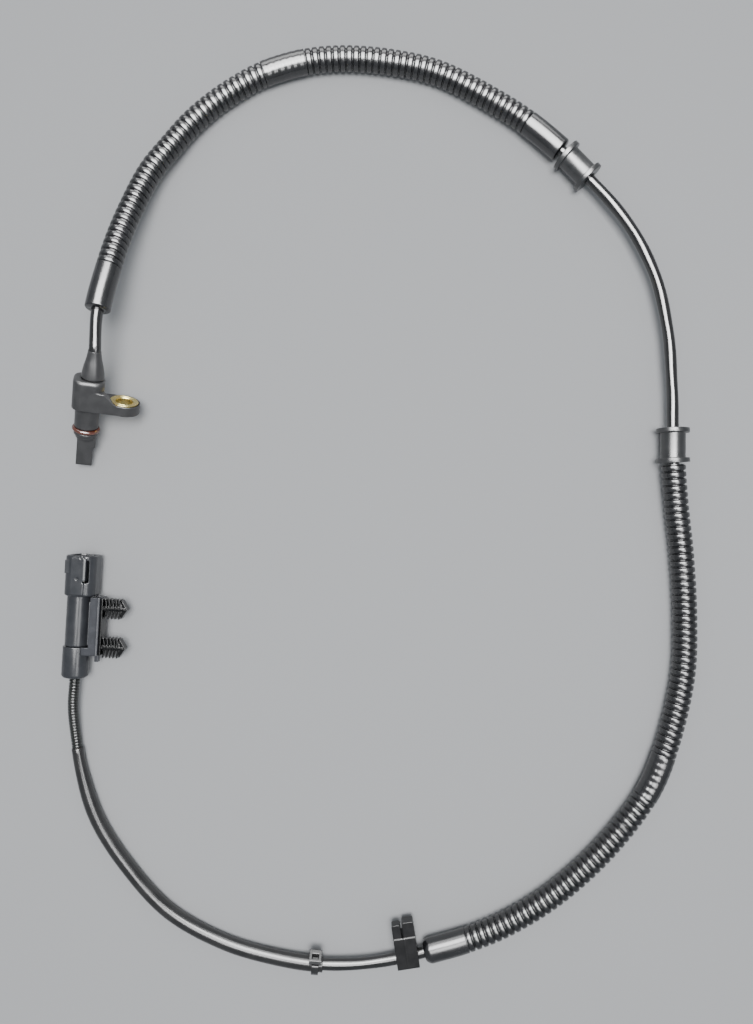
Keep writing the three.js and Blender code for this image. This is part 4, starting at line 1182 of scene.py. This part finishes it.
# A base plate with two fir trees; each fin is the same small swept plate
firTree = {
    "inside": 10.65, "base": 0.9, "begin": 10.4, "end": 34.1, "bottom": -1.2, "height": 5.6,
    "axisHeight": 0.6, "length": 9.6, "half": 4.2, "core": 1.1, "coreHeight": 1.3, "thickness": 4.4,
    "fins": 5, "firstFin": 0.45, "finThickness": 0.5, "finRoot": 0.25, "finSweep": -0.25, "finFoot": 0.35,
    "finRounding": 0.12, "first": 13.4, "spacing": 16.3, "rib": 0.8, "ribProud": 0.35, "ribEnd": 1.0,
    "root": 0.3, "sunk": 0.05, "tip": 2.3, "tipHalf": 0.25, "tipInset": 0.2, "tipThinner": 0.3,
    "tipOverlap": 0.1,
}


# Sets a fin at each step along a fir tree's axis
def finTree():
    tree, given, identifiers = nodeGroup("firTreeFins", {"Fins": 5, "Pitch": 1.5, "Start": 0.5})
    step = tree.add("ShaderNodeCombineXYZ", {}, {"X": given.out("Pitch")})
    start = tree.add("ShaderNodeCombineXYZ", {}, {"X": given.out("Start")})
    line = tree.add("GeometryNodeMeshLine", {"mode": "OFFSET"}, {
        "Count": given.out("Fins"), "Start Location": start, "Offset": step})
    points = tree.add("GeometryNodeMeshToPoints", {}, {"Mesh": line})
    fins = tree.add("GeometryNodeInstanceOnPoints", {}, {"Points": points, "Instance": given.out("Geometry")})
    endGroup(tree, given, fins)
    return tree, identifiers


finNodes, finInputs = finTree()


def makeTrees():
    t = firTree
    half, core, depth = t["half"], t["core"], t["thickness"] / 2
    finEnd = t["length"] - t["tip"]
    sweep, back, foot = t["finSweep"], t["finThickness"] + t["finSweep"], t["finThickness"] + t["finFoot"]
    fin = softened([
        (t["finRoot"], -core), (sweep, -half), (back, -half), (foot, -core),
        (foot, core), (back, half), (sweep, half), (t["finRoot"], core)],
        [0, t["finRounding"], t["finRounding"], 0] * 2)
    tipStart, tipSide = finEnd - t["tipOverlap"], half - t["tipInset"]
    tip = [
        (tipStart, -tipSide), (t["length"], -t["tipHalf"]), (t["length"], t["tipHalf"]), (tipStart, tipSide)]
    sizes = {"Fins": t["fins"], "Pitch": finEnd / t["fins"], "Start": t["firstFin"]}
    sizes["Material"] = materials["tree"]
    outside = t["inside"] + t["base"]
    lumps = [boxLump((t["inside"], t["begin"], t["bottom"]), (outside, t["end"], t["bottom"] + t["height"]))]
    for place in (t["first"], t["first"] + t["spacing"]):
        spot = (outside - t["sunk"], place, t["axisHeight"])
        fins = throughNodes(prismLump(fin, -depth, depth), finNodes, finInputs, sizes)
        lumps.append(moved(fins, spot))
        lumps.append(moved(prismLump(tip, -depth + t["tipThinner"], depth - t["tipThinner"]), spot))
        lumps.append(moved(boxLump(
            (-t["root"], -core, -t["coreHeight"]), (finEnd, core, t["coreHeight"])), spot))
        lumps.append(moved(boxLump(
            (-t["root"], -t["rib"] / 2, -depth - t["ribProud"]),
            (t["length"] - t["ribEnd"], t["rib"] / 2, depth + t["ribProud"])), spot))
    thing = moulded("firTreeMount", lumps, (), grid=0.13, smoothing=2)
    return finishPiece(thing, "tree", "tree_plastic", "fir_tree_mount", matrix=plugMatrix)


pin = {
    "start": 24.8, "end": 45.9, "radius": 0.7, "tipLength": 0.8, "tipRadius": 0.25, "sides": 32,
    "rounding": [0, 0.1, 0.3, 0.1, 0],
}


def makePin(name, side, node):
    low, high, radius = pin["start"], pin["end"], pin["radius"]
    profile = [
        (0, low), (radius, low), (radius, high - pin["tipLength"]), (pin["tipRadius"], high), (0, high)]
    thing = turnedMesh(name, softened(profile, pin["rounding"], closed=False), pin["sides"])
    moved(thing, (side * cable["pinSpacing"] / 2, 0, 0), alongY)
    return finishPiece(thing, "tinned", "tinned_metal", node, matrix=plugMatrix)


plugHousing = makeShell()
plugCap = makeCap()
plugRetainer = makeRetainer()
firTreeMount = makeTrees()
pinLeft = makePin("terminalPinLeft", -1, "terminal_pin_left")
pinRight = makePin("terminalPinRight", 1, "terminal_pin_right")
say("connector ready")


# The pieces inside keep their solids and get their finish

inside = {
    "hall_element": "insert", "bias_magnet": "magnet", "lead_carrier": "insert", "sensor_lead_left": "tinned",
    "sensor_lead_right": "tinned", "head_core_white": "coreWhite", "head_core_brown": "coreBrown",
    "wire_seal": "seal", "terminal_block": "insert",
}
for node, material in inside.items():
    for slot in bpy.data.objects[node].material_slots:
        slot.material = materials[material]

routePoints = [route.at(s) for s in stationsBetween(-route.exitDistance, route.end, cable["pathStep"])]
plugDistances = (*cable["pathInPlug"], cable["blockStart"] + cable["coreInBlock"])
routePoints += [onPlug(0, distance, 0) for distance in plugDistances]
tuple(route.at(0) * toMetres)
route.end * toMetres
[tuple(p * toMetres) for p in routePoints]
say("cord declared")


# Floor and soft studio light, in metres

floor = {"half": 1.6, "colour": (0.52, 0.525, 0.535), "roughness": 0.7}
air = {"colour": (0.9, 0.95, 1.0), "strength": 0.4}
aimPoint = (0.1134, -0.0418, 0)

# Panels of light; one that only shines is seen in glossy surfaces and lights nothing else
lights = {
    "overheadPanel": {
        "place": (0.16, 0.0, 1.2), "target": aimPoint, "size": (0.55, 0.55), "brightness": 13.5,
        "onlyShine": False},
    "nearPanel": {
        "place": (0.09, 0.2, 0.43), "target": (0.09, 0.2, 0), "size": (0.42, 0.44), "brightness": 24.0,
        "onlyShine": True},
    "farPanel": {
        "place": (0.1, 1.6, 0.65), "target": aimPoint, "size": (1.8, 0.8), "brightness": 4.5,
        "onlyShine": True},
    "sidePanel": {
        "place": (0.34, -0.23, 0.5), "target": (0.34, -0.23, 0), "size": (0.22, 0.24), "brightness": 8.0,
        "onlyShine": True},
}


def makeFloor():
    shape = bmesh.new()
    bmesh.ops.create_grid(shape, x_segments=1, y_segments=1, size=floor["half"])
    thing = fromBmesh("studioFloor", shape)
    material, tree = shaded("studioFloor")
    shader = tree.add("ShaderNodeBsdfPrincipled", {}, {
        "Base Color": (*floor["colour"], 1), "Roughness": floor["roughness"], "Specular IOR Level": 0.0})
    tree.add("ShaderNodeOutputMaterial", {}, {"Surface": shader})
    thing.data.materials.append(material)


def makeLight(name, given):
    width, depth = given["size"]
    data = bpy.data.lights.new(name, "AREA")
    data.shape = "RECTANGLE"
    data.size, data.size_y = width, depth
    data.energy = given["brightness"] * math.pi * width * depth
    light = bpy.data.objects.new(name, data)
    light.location = given["place"]
    direction = Vector(given["target"]) - Vector(given["place"])
    light.rotation_euler = direction.to_track_quat("-Z", "Y").to_euler()
    light.visible_diffuse = not given["onlyShine"]
    bpy.context.scene.collection.objects.link(light)


makeFloor()
for name, given in lights.items():
    makeLight(name, given)

world = bpy.data.worlds.new("studioAir")
world.use_nodes = True
background = world.node_tree.nodes["Background"]
background.inputs["Color"].default_value = (*air["colour"], 1)
background.inputs["Strength"].default_value = air["strength"]
bpy.context.scene.world = world
say("light ready")
